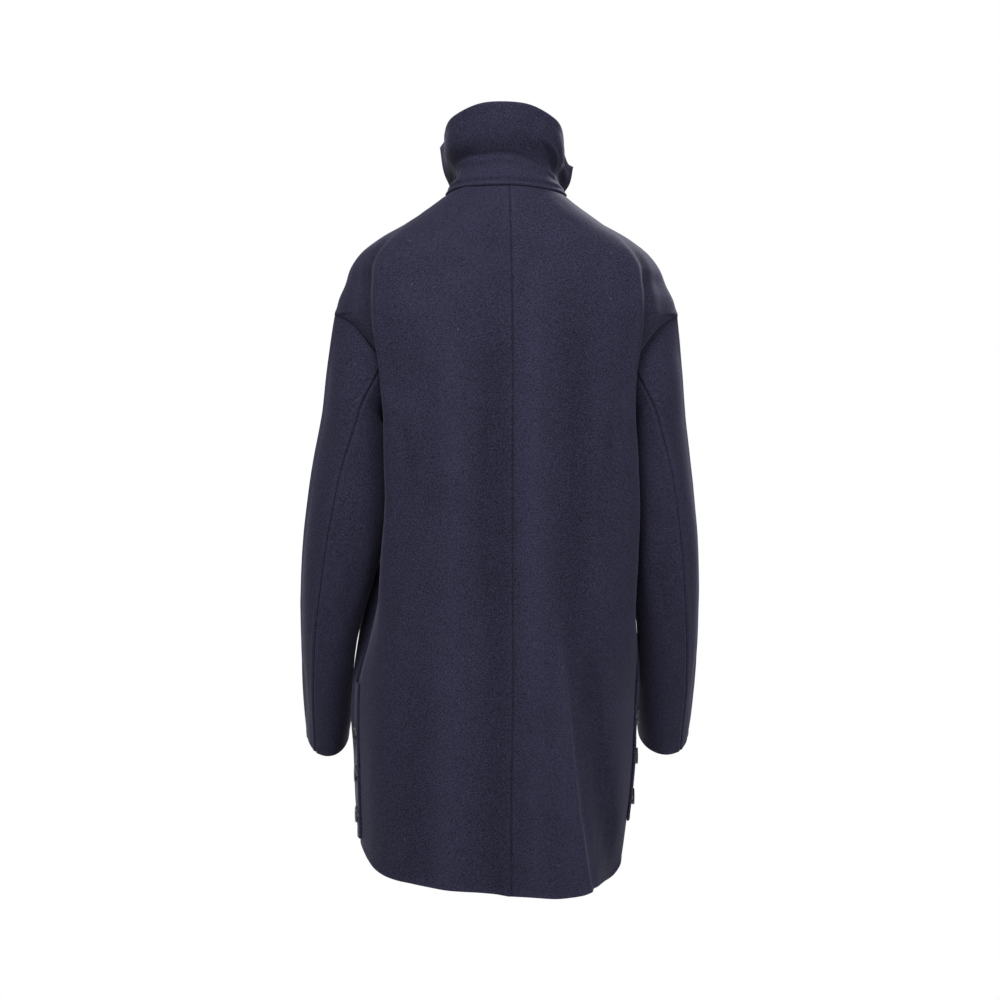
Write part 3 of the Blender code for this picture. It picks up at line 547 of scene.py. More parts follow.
FRONT_CREASES = (
    Crease(((-26, -310), (-33, -450), (-27, -615)), 15, -1.5, 0.3),
    Crease(((26, -570), (34, -680), (38, -800)), 18, -2.6, 0.3, True),
    Crease(((-4, -590), (2, -690), (6, -800)), 15, 2.0, -0.2, True),
    Crease(((-112, -300), (-119, -450), (-126, -650)), 19, 2.4),
    Crease(((117, -300), (124, -460), (131, -650)), 19, 2.4),
    Crease(((-84, -330), (-91, -470), (-99, -640)), 14, -2.0),
    Crease(((95, -560), (101, -680), (108, -800)), 15, -2.2, 0.0, True),
    Crease(((-70, -600), (-73, -690), (-80, -800)), 16, 2.0, 0.0, True),
    Crease(((150, -262), (128, -306), (112, -380)), 9, -2.2),
    Crease(((-149, -262), (-130, -300), (-117, -392)), 9, -2.4),
    Crease(((-160, -232), (-144, -284), (-132, -360)), 8, 1.5),
    Crease(((158, -234), (141, -288), (130, -352)), 8, 1.5),
    Crease(((-56, -427), (0, -437), (56, -427)), 9, -1.0),
    Crease(((-56, -303), (4, -313), (56, -303)), 9, -1.0),
    Crease(((-56, -552), (0, -562), (56, -551)), 9, -0.8),
    Crease(((96, -318), (118, -334), (136, -372)), 10, 1.0),
    Crease(((130, -120), (138, -170), (130, -225)), 13, 1.0),
    Crease(((-128, -118), (-139, -168), (-128, -228)), 13, 1.0),
    Crease(((-206, -455), (-210, -530), (-207, -610)), 16, 1.3),
    Crease(((206, -500), (209, -548), (206, -604)), 15, 2.2),
)
# Sleeve charts run from the outside of the arm at 0, past the back at 81 and the inside at 162 to
# the front at 243, and down from the armhole
LEFT_SLEEVE_CREASES = (
    Crease(((196, 250), (234, 266), (274, 256)), 9, -3.0),
    Crease(((190, 268), (232, 284), (270, 276)), 8, 2.2),
    Crease(((184, 292), (226, 304), (262, 296)), 9, -2.4),
    Crease(((206, 226), (240, 234), (266, 230)), 8, -1.6),
    Crease(((118, 34), (148, 88), (160, 160)), 10, -2.2),
    Crease(((174, 24), (184, 80), (186, 150)), 9, -2.2),
    Crease(((214, 30), (222, 90), (216, 170)), 11, -1.8),
    Crease(((70, 190), (96, 262), (88, 340)), 13, -1.6),
    Crease(((104, 210), (122, 270), (112, 350)), 10, 1.2),
    Crease(((38, 170), (28, 262), (38, 356)), 14, 1.1),
    Crease(((8, 372), (22, 430), (17, 476)), 11, -1.5),
    Crease(((248, 370), (262, 420), (256, 480)), 12, -1.8),
    Crease(((298, 60), (292, 160), (300, 250)), 15, 1.2),
    Crease(((72, 400), (64, 440), (68, 486)), 10, 1.2),
)
RIGHT_SLEEVE_CREASES = (
    Crease(((190, 244), (228, 258), (266, 252)), 9, -2.8),
    Crease(((188, 264), (226, 278), (272, 268)), 8, 2.0),
    Crease(((196, 286), (232, 300), (270, 290)), 9, -2.7),
    Crease(((180, 316), (206, 326), (238, 322)), 8, -1.5),
    Crease(((122, 30), (150, 84), (158, 170)), 11, -2.4),
    Crease(((176, 28), (188, 88), (184, 160)), 9, -2.0),
    Crease(((220, 26), (226, 96), (218, 160)), 11, -1.9),
    Crease(((66, 206), (90, 270), (84, 352)), 13, -1.8),
    Crease(((102, 196), (118, 262), (110, 336)), 10, 1.3),
    Crease(((34, 150), (26, 240), (36, 330)), 14, 1.2),
    Crease(((12, 360), (24, 416), (20, 470)), 11, -1.3),
    Crease(((252, 360), (260, 414), (254, 474)), 12, -1.6),
    Crease(((294, 70), (288, 150), (296, 240)), 15, 1.3),
)
# The collar's chart runs along its seam, from the nape towards the wearer's left, and up
COLLAR_CREASES = (
    Crease(
        ((104, 32), (80, 37), (38, 36.5), (-2, 37), (-37, 32.5), (-57, 26), (-84, 26)),
        3.4, -1.5, 0.3,
    ),
    Crease(
        ((104, 27), (80, 32), (38, 31), (-2, 31.5), (-37, 27), (-57, 21), (-84, 21)), 3.4, 1.3, 0.3
    ),
    Crease(((84, 48), (46, 50), (4, 51), (-30, 49)), 9.0, 0.7),
    Crease(((-48, 62), (-60, 54), (-74, 44), (-88, 32), (-96, 14)), 2.3, 2.4),
    Crease(((-42, 58), (-53, 50), (-66, 39), (-80, 27), (-88, 10)), 3.2, -2.2),
    Crease(((-58, 54), (-72, 46), (-86, 37), (-98, 25)), 2.2, 1.6),
    Crease(((-50, 26), (-66, 22), (-82, 18), (-98, 11)), 2.4, 1.7),
    Crease(((-54, 21), (-68, 17), (-84, 13), (-96, 7)), 2.6, -1.4),
    Crease(((126, 20), (106, 19), (90, 18), (74, 17)), 6.0, -3.6),
    Crease(((116, 66), (119, 40), (117, 20), (110, 4)), 5.0, -3.0),
    Crease(((96, 31), (88, 22), (84, 10), (88, 2)), 3.0, 1.6),
    Crease(((120, 22), (136, 30), (158, 28)), 5.0, -1.4),
    Crease(((-112, 24), (-130, 30), (-150, 24)), 5.0, -1.4),
    Crease(((30, 64), (44, 80), (50, 94)), 12.0, -0.8),
    Crease(((-26, 60), (-34, 78), (-30, 96)), 12.0, -0.8),
)


class EdgeKind(Enum):
    """How the cloth ends at an edge of its grid."""

    INSIDE = 0
    TURNED = 1  # a free edge, turned in and pressed round
    SEAM = 2  # sewn edge to edge with its neighbour
    OVER = 3  # sewn on top of its neighbour
    UNDER = 4  # sewn beneath its neighbour
    PIPED = 5  # the collar's foot, rolled over its own seam


# Heights of what shows beside an edge, and how far from the edge the hems end, in mm
HEM_SWELL, HEM_STITCH, HEM_STITCH_AT = 0.35, 0.16, 9.8
HEM_END, ALLOWANCE_END = (5.0, 9.0), (7.5, 9.0)
SEAM_DEPTH, OVER_HEIGHT, UNDER_DEPTH, PIPING = 1.9, 1.0, 1.4, 2.4
# Painted shade: a seam's groove darkens the wool and the swell beside it lightens it, with this
# weight. A fold of the given height gets the full painted shade or highlight.
SEAM_SHADE_WEIGHT, FULL_SHADE_RELIEF = 3.0, 4.0  # weight of a seam among the folds, and height of a full fold


def fine_stops(points: np.ndarray, step: float, edges: Sequence[int]) -> np.ndarray:
    """Places along the first axis of a grid, closer together beside its edges.

    Args:
        points: The grid.
        step: Distance between places, in millimetres.
        edges: Knots where the cloth ends or is sewn.

    Returns:
        Places in the grid's own steps, with all its knots among them.
    """
    lengths = np.median(np.linalg.norm(np.diff(points[..., :3], axis=0), axis=2), axis=1)
    counts = np.maximum(1, np.round(lengths / step)).astype(int)
    places = np.concatenate([i + np.arange(n) / n for i, n in enumerate(counts)])
    places = np.append(places, len(lengths))
    for edge in edges:
        for way in (-1, 1):
            beside = edge - 1 if way < 0 else edge
            if not 0 <= beside < len(lengths):
                continue
            close = np.array(CLOSE) * min(1.0, 0.6 * lengths[beside] / CLOSE[-1]) / lengths[beside]
            away = (places - edge) * way
            kept = (away <= 1e-9) | (away > close[-1] + 0.35 * step / lengths[beside])
            places = np.concatenate([places[kept], edge + way * close])
    return np.unique(np.round(places, 9))


def refine_line(line: np.ndarray, places: np.ndarray, corners: Sequence[int] = ()) -> np.ndarray:
    """One row or column of a grid read at fractional places, smoothly between its own points.

    Args:
        line: The points, with their chart.
        places: Where to read them, in steps from the first.
        corners: Points at which the line may turn sharply.

    Returns:
        The points at those places.
    """
    steps = np.maximum(np.linalg.norm(np.diff(line[:, :3], axis=0), axis=1), 1e-3)
    knots = np.concatenate([[0.0], np.cumsum(steps)])
    at = np.interp(places, np.arange(len(knots)), knots)
    read = np.empty((len(at), line.shape[1]))
    ends = [0, *corners, len(line) - 1]
    for low, high in zip(ends[:-1], ends[1:]):
        here = (places >= low) & (places <= high)
        read[here] = smooth(knots[low : high + 1], line[low : high + 1], at[here])
    return read


def refine(
    points: np.ndarray, rows: np.ndarray, columns: np.ndarray, corners: Sequence[int] = ()
) -> np.ndarray:
    """A grid read at fractional rows and columns, smoothly between its own points.

    Args:
        points: The grid, with its chart.
        rows: Rows to read.
        columns: Columns to read.
        corners: Rows where the last column turns sharply, which the others share less and less.

    Returns:
        The finer grid.
    """
    lines = []
    for j in range(points.shape[1]):
        line = refine_line(points[:, j], rows)
        if corners:
            share = float(ease(0.55, 1.0, j / (points.shape[1] - 2)))
            line = (1 - share) * line + share * refine_line(points[:, j], rows, corners)
        lines.append(line)
    tall = np.stack(lines, axis=1)
    return np.stack([refine_line(row, columns) for row in tall])


@dataclass
class Sheet:
    """A closed wall of cloth over a grid of points.

    Attributes:
        name: Name of the piece.
        grid: Its outer face with the chart as two more values, in rows and columns.
        thickness: Thickness of the cloth.
        flip: Whether rows and columns run the other way round the outward direction.
        creases: Listed folds laid on it.
        rows: Knots of its rows where it ends or is sewn.
        columns: Knots of its columns where it ends or is sewn.
        ghosts: Columns at each end that only shape the cloth beside a seam.
        wrap: How far the chart runs before it repeats, or 0.
        step: Distance between the fine grid's points.
        lap: Another grid, which is read past the lap's column.
        lap_column: Column where the lap begins.
        keep: Tells which of the places between knots are cloth.
        corners: Rows where the last column turns sharply.
        kinds: Tells how the cloth ends at a place on its outline.
        uneven: Height of the slight unevenness of worn cloth.
        swell: How far the cloth swells beside a seam.
        form: Gives the depth of the grid's own folds, at a distance across and a height, read only for
            the painted shade and highlight of the folds.
    """

    name: str
    grid: np.ndarray
    thickness: float
    flip: bool
    creases: Sequence[Crease]
    rows: Sequence[int]
    columns: Sequence[int]
    kinds: Callable[[float, float], EdgeKind]
    ghosts: tuple[int, int] = (0, 0)
    wrap: float = 0.0
    step: float = 3.4
    lap: np.ndarray | None = None
    lap_column: int = 10_000
    keep: Callable[[float, float], bool] | None = None
    corners: Sequence[int] = ()
    uneven: float = 0.35
    swell: float = 0.28
    form: Callable[[float, float], float] | None = None

    def relief(self, grid: np.ndarray) -> np.ndarray:
        """The folds and the slight unevenness of worn cloth, at each point of a grid."""
        chart, total = grid[..., 3:5], np.zeros(grid.shape[:2])
        for crease in self.creases:
            total += crease.relief(chart)
            if self.wrap:
                total += crease.relief(chart - (self.wrap, 0.0))
        flat = grid[..., :3].reshape(-1, 3)
        rough = [noise.noise(p / 46.0) + 0.4 * noise.noise(p / 15.0) for p in map(Vector, flat)]
        return total + self.uneven * np.array(rough).reshape(total.shape)

    def normals(self, points: np.ndarray) -> np.ndarray:
        """Outward directions of a grid of points."""
        across, up = np.gradient(points, axis=1), np.gradient(points, axis=0)
        return unit(np.cross(across, up) * (-1.0 if self.flip else 1.0))

    def profile(self, near: dict[EdgeKind, np.ndarray]) -> tuple[np.ndarray, np.ndarray]:
        """How the wall swells and sinks towards its edges.

        Args:
            near: Distance to the nearest edge of each kind.

        Returns:
            How far the outer face moves out, and how far the inner face moves in.
        """
        outer = inner = np.zeros(next(iter(near.values())).shape)
        for kind, d in near.items():
            if kind is EdgeKind.TURNED:
                stitched = HEM_STITCH * bell(d, HEM_STITCH_AT, 1.4)
                swell = HEM_SWELL * (1 - ease(*HEM_END, d)) - stitched
                r = self.thickness / 2 + HEM_SWELL
                rounding = r - np.sqrt(np.maximum(r**2 - (r - np.minimum(d, r)) ** 2, 0.0))
                outer, inner = outer + swell - 0.93 * rounding, inner + swell - 0.93 * rounding
                continue
            inner = inner + 0.7 * (1 - ease(*ALLOWANCE_END, d)) - 0.6 * groove(d, 1.4)
            if kind is EdgeKind.SEAM:
                outer = outer + self.swell * bell(d, 3.8, 2.0) - SEAM_DEPTH * groove(d, 1.8)
            elif kind is EdgeKind.OVER:
                outer = outer + OVER_HEIGHT * (1 - ease(3.0, 10.0, d)) - 1.1 * groove(d, 1.1)
            elif kind is EdgeKind.UNDER:
                outer = outer - UNDER_DEPTH * (1 - ease(0.0, 3.6, d))
            elif kind is EdgeKind.PIPED:
                outer = outer + PIPING * bell(d, 3.2, 2.2) - groove(d, 1.2)
                outer = outer - bell(d, 8.0, 1.6)
        return outer, inner

    def build(self) -> bpy.types.Object:
        """Builds the wall of cloth.

        Returns:
            The closed piece, with a UV map in metres, an attribute for its pressed edges, and one that
            carries painted shade for its troughs and seams and painted highlight for its ridges.
        """
        rows = fine_stops(self.grid, self.step, self.rows)
        columns = fine_stops(self.grid.swapaxes(0, 1), self.step, self.columns)
        fine = refine(self.grid, rows, columns, self.corners)
        if self.lap is not None:
            past = columns > self.lap_column + 1e-9
            fine[:, past] = refine(self.lap, rows, columns)[:, past]
        relief = self.relief(fine)
        # Painted shade and highlight: the height of the folds is kept, to darken the wool in troughs
        # and lighten it on ridges.
        fold = relief.copy()
        if self.form is not None:
            fold += np.vectorize(self.form)(fine[..., 0], fine[..., 2])
        points = fine[..., :3] + relief[..., None] * self.normals(fine[..., :3])
        normals = self.normals(points)
        first, last = self.ghosts[0], self.grid.shape[1] - 1 - self.ghosts[1]
        shown = (columns >= first - 1e-9) & (columns <= last + 1e-9)
        points, normals, fold = points[:, shown], normals[:, shown], fold[:, shown]
        columns = columns[shown]
        mid_row, mid_column = (rows[1:] + rows[:-1]) / 2, (columns[1:] + columns[:-1]) / 2
        kept = np.array(
            [[self.keep is None or self.keep(row, column) for column in mid_column] for row in mid_row]
        )
        rim = self.outline(kept)
        tall, wide = points.shape[:2]
        near = self.edge_distances(points, rows, columns, rim)
        outer_move, inner_move = self.profile(near)
        # Painted shade: seam grooves and rounded hems darken the wool further, and swells beside seams
        # lighten it.
        fold = fold + SEAM_SHADE_WEIGHT * outer_move
        outer = points + outer_move[..., None] * normals
        inner = points - (self.thickness + inner_move)[..., None] * normals
        count = tall * wide
        corner = (np.arange(tall - 1)[:, None] * wide + np.arange(wide - 1))[kept]
        rings = np.stack([corner, corner + 1, corner + wide + 1, corner + wide], axis=1)
        if self.flip:
            rings = rings[:, ::-1]
        start, end = (np.array(rim) if self.flip else np.array(rim)[:, ::-1]).T
        walls = np.stack([start, end, end + count, start + count], axis=1)
        faces = np.vstack([rings, rings[:, ::-1] + count, walls])
        used, faces = np.unique(faces, return_inverse=True)
        chart = np.stack([run_along(points, 1), run_along(points, 0)], axis=2)
        uv = np.tile(chart.reshape(-1, 2), (2, 1))[used] * MM
        pressed = near.get(EdgeKind.TURNED, np.full(points.shape[:2], FAR))
        worn = np.tile(np.exp(-(pressed / 2.2)).reshape(-1), 2)[used]
        fold = np.tile(np.clip(fold / FULL_SHADE_RELIEF, -1.0, 1.0).reshape(-1), 2)[used]
        verts = np.vstack([outer.reshape(-1, 3), inner.reshape(-1, 3)])[used] * MM
        return self.as_object(verts, faces.reshape(-1, 4), uv, {"worn": worn, "fold": fold})

    def outline(self, kept: np.ndarray) -> list[tuple[int, int]]:
        """Grid edges with cloth on one side only, in the order of the face that they belong to."""
        tall, wide = kept.shape
        padded = np.pad(kept, 1)
        rim = []
        for r, c in np.argwhere(kept):
            corner = r * (wide + 1) + c
            ring = (corner, corner + 1, corner + wide + 2, corner + wide + 1)
            beside = padded[[r, r + 1, r + 2, r + 1], [c + 1, c + 2, c + 1, c]]
            rim += [(ring[i], ring[(i + 1) % 4]) for i in range(4) if not beside[i]]
        return rim

    def edge_distances(
        self, points: np.ndarray, rows: np.ndarray, columns: np.ndarray,
        rim: Sequence[tuple[int, int]],
    ) -> dict[EdgeKind, np.ndarray]:
        """Distance from each point to the nearest edge of each kind."""
        flat = points.reshape(-1, 3)
        ends: dict[EdgeKind, list[int]] = {}
        for a, b in rim:
            (ra, ca), (rb, cb) = divmod(a, len(columns)), divmod(b, len(columns))
            kind = self.kinds((rows[ra] + rows[rb]) / 2, (columns[ca] + columns[cb]) / 2)
            ends.setdefault(kind, []).extend((a, b))
        near = {}
        for kind, found in ends.items():
            if kind is EdgeKind.INSIDE:
                continue
            found = sorted(set(found))
            tree = KDTree(len(found))
            for i, vert in enumerate(found):
                tree.insert(flat[vert], i)
            tree.balance()
            near[kind] = np.array([tree.find(p)[2] for p in flat]).reshape(points.shape[:2])
        return near

    def as_object(
        self, verts: np.ndarray, faces: np.ndarray, uv: np.ndarray, values: dict[str, np.ndarray]
    ) -> bpy.types.Object:
        """The object of points, faces, their UV places and the values that its finish reads."""
        mesh = bpy.data.meshes.new(self.name)
        mesh.from_pydata(verts.tolist(), [], faces.tolist())
        layer = mesh.uv_layers.new(name="cloth")
        corners = np.empty(len(mesh.loops), np.int32)
        mesh.loops.foreach_get("vertex_index", corners)
        layer.data.foreach_set("uv", uv[corners].astype(np.float32).ravel())
        for name, value in values.items():
            layer = mesh.attributes.new(name, "FLOAT", "POINT")
            layer.data.foreach_set("value", value.astype(np.float32))
        mesh.shade_smooth()
        return show(self.name, mesh)


class Link:
    """One output of a shader node, which takes part in ordinary arithmetic."""

    def __init__(self, nodes: "Nodes", socket: bpy.types.NodeSocket) -> None:
        """Keeps the socket and the node tree that it belongs to."""
        self.nodes, self.socket = nodes, socket

    def maths(self, operation: str, *values: Any) -> "Link":
        """A Math node over the values."""
        return self.nodes.add("ShaderNodeMath", {"operation": operation}, dict(enumerate(values)))

    def __add__(self, other: Any) -> "Link":
        """Sum."""
        return self.maths("ADD", self, other)

    def __sub__(self, other: Any) -> "Link":
        """Difference."""
        return self.maths("SUBTRACT", self, other)

    def __mul__(self, other: Any) -> "Link":
        """Product."""
        return self.maths("MULTIPLY", self, other)

    def __gt__(self, other: Any) -> "Link":
        """1 where it is greater, else 0."""
        return self.maths("GREATER_THAN", self, other)

    def __lt__(self, other: Any) -> "Link":
        """1 where it is less, else 0."""
        return self.maths("LESS_THAN", self, other)

    __radd__, __rmul__ = __add__, __mul__

    def out(self, name: str) -> "Link":
        """Another output of the same node."""
        return Link(self.nodes, self.socket.node.outputs[name])


class Nodes:
    """The node tree of one material, ending in its Principled shader."""

    def __init__(self, name: str) -> None:
        """Makes the material and finds its shader."""
        self.material = bpy.data.materials.new(name)
        self.material.use_nodes = True
        self.tree = self.material.node_tree
        self.shader = self.tree.nodes["Principled BSDF"]

    def put(self, inputs: bpy.types.bpy_prop_collection, values: dict[Any, Any]) -> None:
        """Sets or links a node's inputs."""
        for key, value in values.items():
            if isinstance(value, Link):
                self.tree.links.new(value.socket, inputs[key])
            else:
                inputs[key].default_value = value

    def add(self, kind: str, settings: dict[str, Any], values: dict[Any, Any]) -> Link:
        """Adds a node.

        Args:
            kind: Its type.
            settings: Attributes set before its sockets.
            values: Numbers, colours or links for its inputs.

        Returns:
            Its first output.
        """
        node = self.tree.nodes.new(kind)
        for key, value in settings.items():
            setattr(node, key, value)
        self.put(node.inputs, values)
        return Link(self, next(s for s in node.outputs if s.enabled))

    def place(self) -> Link:
        """Where a point is on its object."""
        return self.add("ShaderNodeTexCoord", {}, {}).out("Object")

    def value(self, name: str) -> Link:
        """A value that the mesh holds at each of its points."""
        return self.add("ShaderNodeAttribute", {"attribute_name": name}, {}).out("Fac")

    def noise(self, where: Link, scale: float, detail: float = 2.0, rough: float = 0.5) -> Link:
        """Even noise at a number of grains a metre."""
        values = {"Vector": where, "Scale": scale, "Detail": detail, "Roughness": rough}
        return self.add("ShaderNodeTexNoise", {}, values)

    def stretch(self, where: Link, scale: tuple[float, float, float], turn: float = 0.0) -> Link:
        """Coordinates stretched and turned about the last axis."""
        values = {"Vector": where, "Scale": scale, "Rotation": (0.0, 0.0, turn)}
        return self.add("ShaderNodeMapping", {}, values)

    def mix(self, share: Any, first: Any, second: Any) -> Link:
        """A colour between two."""
        values = {"Factor": share, 6: first, 7: second}
        return self.add("ShaderNodeMix", {"data_type": "RGBA"}, values)

    def bump(self, height: Link, strength: float, distance: float) -> Link:
        """A Bump node over a height."""
        values = {"Height": height, "Strength": strength, "Distance": distance}
        return self.add("ShaderNodeBump", {}, values)

    def finish(self, **values: Any) -> bpy.types.Material:
        """Sets the shader's sockets, underscores in their names standing for spaces."""
        named = {key.replace("_", " "): value for key, value in values.items()}
        self.put(self.shader.inputs, named)
        return self.material


@dataclass(frozen=True)
class WoolFinish:
    """Milled double-faced wool: a short nap over a close weave, with painted shade in its troughs and
    seams and painted highlight on its ridges.
    """

    name: str = "navy wool"
    dark: Colour = (0.0022, 0.0021, 0.0044, 1.0)
    light: Colour = (0.0134, 0.0127, 0.0252, 1.0)
    lint: Colour = (0.075, 0.075, 0.10, 1.0)
    sheen: float = 0.055
    sheen_tint: Colour = (0.42, 0.42, 0.62, 1.0)

    def material(self) -> bpy.types.Material:
        """Builds the material."""
        n = Nodes(self.name)
        place = n.place()
        cloth = n.add("ShaderNodeUVMap", {"uv_map": "cloth"}, {})
        warp = n.noise(n.stretch(cloth, (1150.0, 480.0, 1.0)), 1.0, 1.0, 0.6)
        weft = n.noise(n.stretch(cloth, (440.0, 1050.0, 1.0)), 1.0, 1.0, 0.6)
        nap = n.noise(place, 900.0, 1.5, 0.65)
        tuft = n.noise(place, 330.0, 2.0, 0.55)
        cloud = n.noise(place, 26.0, 3.0, 0.5)
        grain = warp * 0.25 + weft * 0.25 + nap * 0.5
        tone = (grain - 0.5) * 5.4 + (tuft - 0.5) * 0.45 + (cloud - 0.5) * 0.2 + 0.5
        # Pressed edges are lighter from wear. The fold value is painted shade in troughs and seams and
        # painted highlight on ridges.
        tone = tone + n.value("worn") * 0.2 + n.value("fold") * 0.16
        colour = n.mix(tone, self.dark, self.light)
        flat = {"voronoi_dimensions": "2D"}
        cell = n.add("ShaderNodeTexVoronoi", flat, {"Vector": cloth, "Scale": 15.0})
        chance = n.add("ShaderNodeSeparateColor", {}, {"Color": cell.out("Color")})
        speck = (cell.out("Distance") < 0.006) * (chance > 0.7)
        colour = n.mix(speck, colour, self.lint)
        height = grain * 0.9 + tuft * 0.3
        rough = 0.86 + (nap - 0.5) * 0.14
        return n.finish(
            Base_Color=colour,
            Roughness=rough,
            Normal=n.bump(height, 0.55, 0.0011),
            Sheen_Weight=self.sheen,
            Sheen_Roughness=0.42,
            Sheen_Tint=self.sheen_tint,
            Specular_IOR_Level=0.04,
        )


@dataclass(frozen=True)
class HornFinish:
    """Dark polished horn."""

    name: str = "dark horn"
    dark: Colour = (0.006, 0.006, 0.007, 1.0)
    light: Colour = (0.030, 0.026, 0.024, 1.0)

    def material(self) -> bpy.types.Material:
        """Builds the material."""
        n = Nodes(self.name)
        place = n.place()
        streak = n.noise(n.stretch(place, (90.0, 90.0, 520.0), 0.5), 1.0, 4.0, 0.6)
        fine = n.noise(place, 1500.0, 2.0, 0.5)
        colour = n.mix((streak - 0.42) * 3.0, self.dark, self.light)
        return n.finish(
            Base_Color=colour,
            Roughness=0.42 + fine * 0.12,
            Normal=n.bump(fine * 0.4 + streak, 0.12, 0.0003),
            Specular_IOR_Level=0.14,
        )


@dataclass(frozen=True)
class ThreadFinish:
    """Twisted sewing thread."""

    name: str = "navy thread"
    colour: Colour = (0.016, 0.015, 0.034, 1.0)
    light: Colour = (0.034, 0.033, 0.062, 1.0)

    def material(self) -> bpy.types.Material:
        """Builds the material."""
        n = Nodes(self.name)
        place = n.place()
        ply = n.noise(place, 2600.0, 2.0, 0.5)
        return n.finish(
            Base_Color=n.mix(ply, self.colour, self.light),
            Roughness=0.55 + ply * 0.15,
            Normal=n.bump(ply, 0.4, 0.0002),
            Sheen_Weight=0.15,
        )


@dataclass(frozen=True)
class SlitFinish:
    """The shadowed inside of a cut buttonhole."""

    name: str = "buttonhole slit"
    colour: Colour = (0.004, 0.004, 0.008, 1.0)
    light: Colour = (0.010, 0.009, 0.017, 1.0)

    def material(self) -> bpy.types.Material:
        """Builds the material."""
        n = Nodes(self.name)
        place = n.place()
        grain = n.noise(place, 1800.0)
        return n.finish(Base_Color=n.mix(grain, self.colour, self.light), Roughness=0.95)


@dataclass(frozen=True)
class FloorFinish:
    """Pale painted studio floor."""

    name: str = "studio floor"
    colour: Colour = (0.80, 0.80, 0.80, 1.0)
    light: Colour = (0.86, 0.86, 0.86, 1.0)

    def material(self) -> bpy.types.Material:
        """Builds the material."""
        n = Nodes(self.name)
        place = n.place()
        tone = n.noise(place, 3.0, 3.0)
        return n.finish(Base_Color=n.mix(tone, self.colour, self.light), Roughness=0.8)


def dress(
    piece: bpy.types.Object, node: str | None,
    materials: Sequence[bpy.types.Material] = (),
) -> None:
    """Ties a piece to the coat.

    Args:
        piece: The finished piece.
        node: The solid that it stands for, if there is one.
        materials: Materials to put on it, in order.
    """
    for material in materials:
        piece.data.materials.append(material)
    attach(piece, "root")
    if node:
        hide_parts(node)
    LOG.info("%s: %d faces", piece.name, len(piece.data.polygons))


def with_chart(grid: np.ndarray) -> np.ndarray:
    """A grid with its distance across the cloth, as x at the middle, and its height as its chart."""
    run = run_along(grid[..., :2], 1)
    way = np.sign(grid[:, -1:, 0] - grid[:, :1, 0])
    middle = np.argmin(np.abs(grid[..., 0]), axis=1)[:, None]
    start = np.take_along_axis(grid[..., 0] - way * run, middle, 1)
    across = start + way * run
    return np.concatenate([grid, across[..., None], grid[..., 2:]], axis=2)


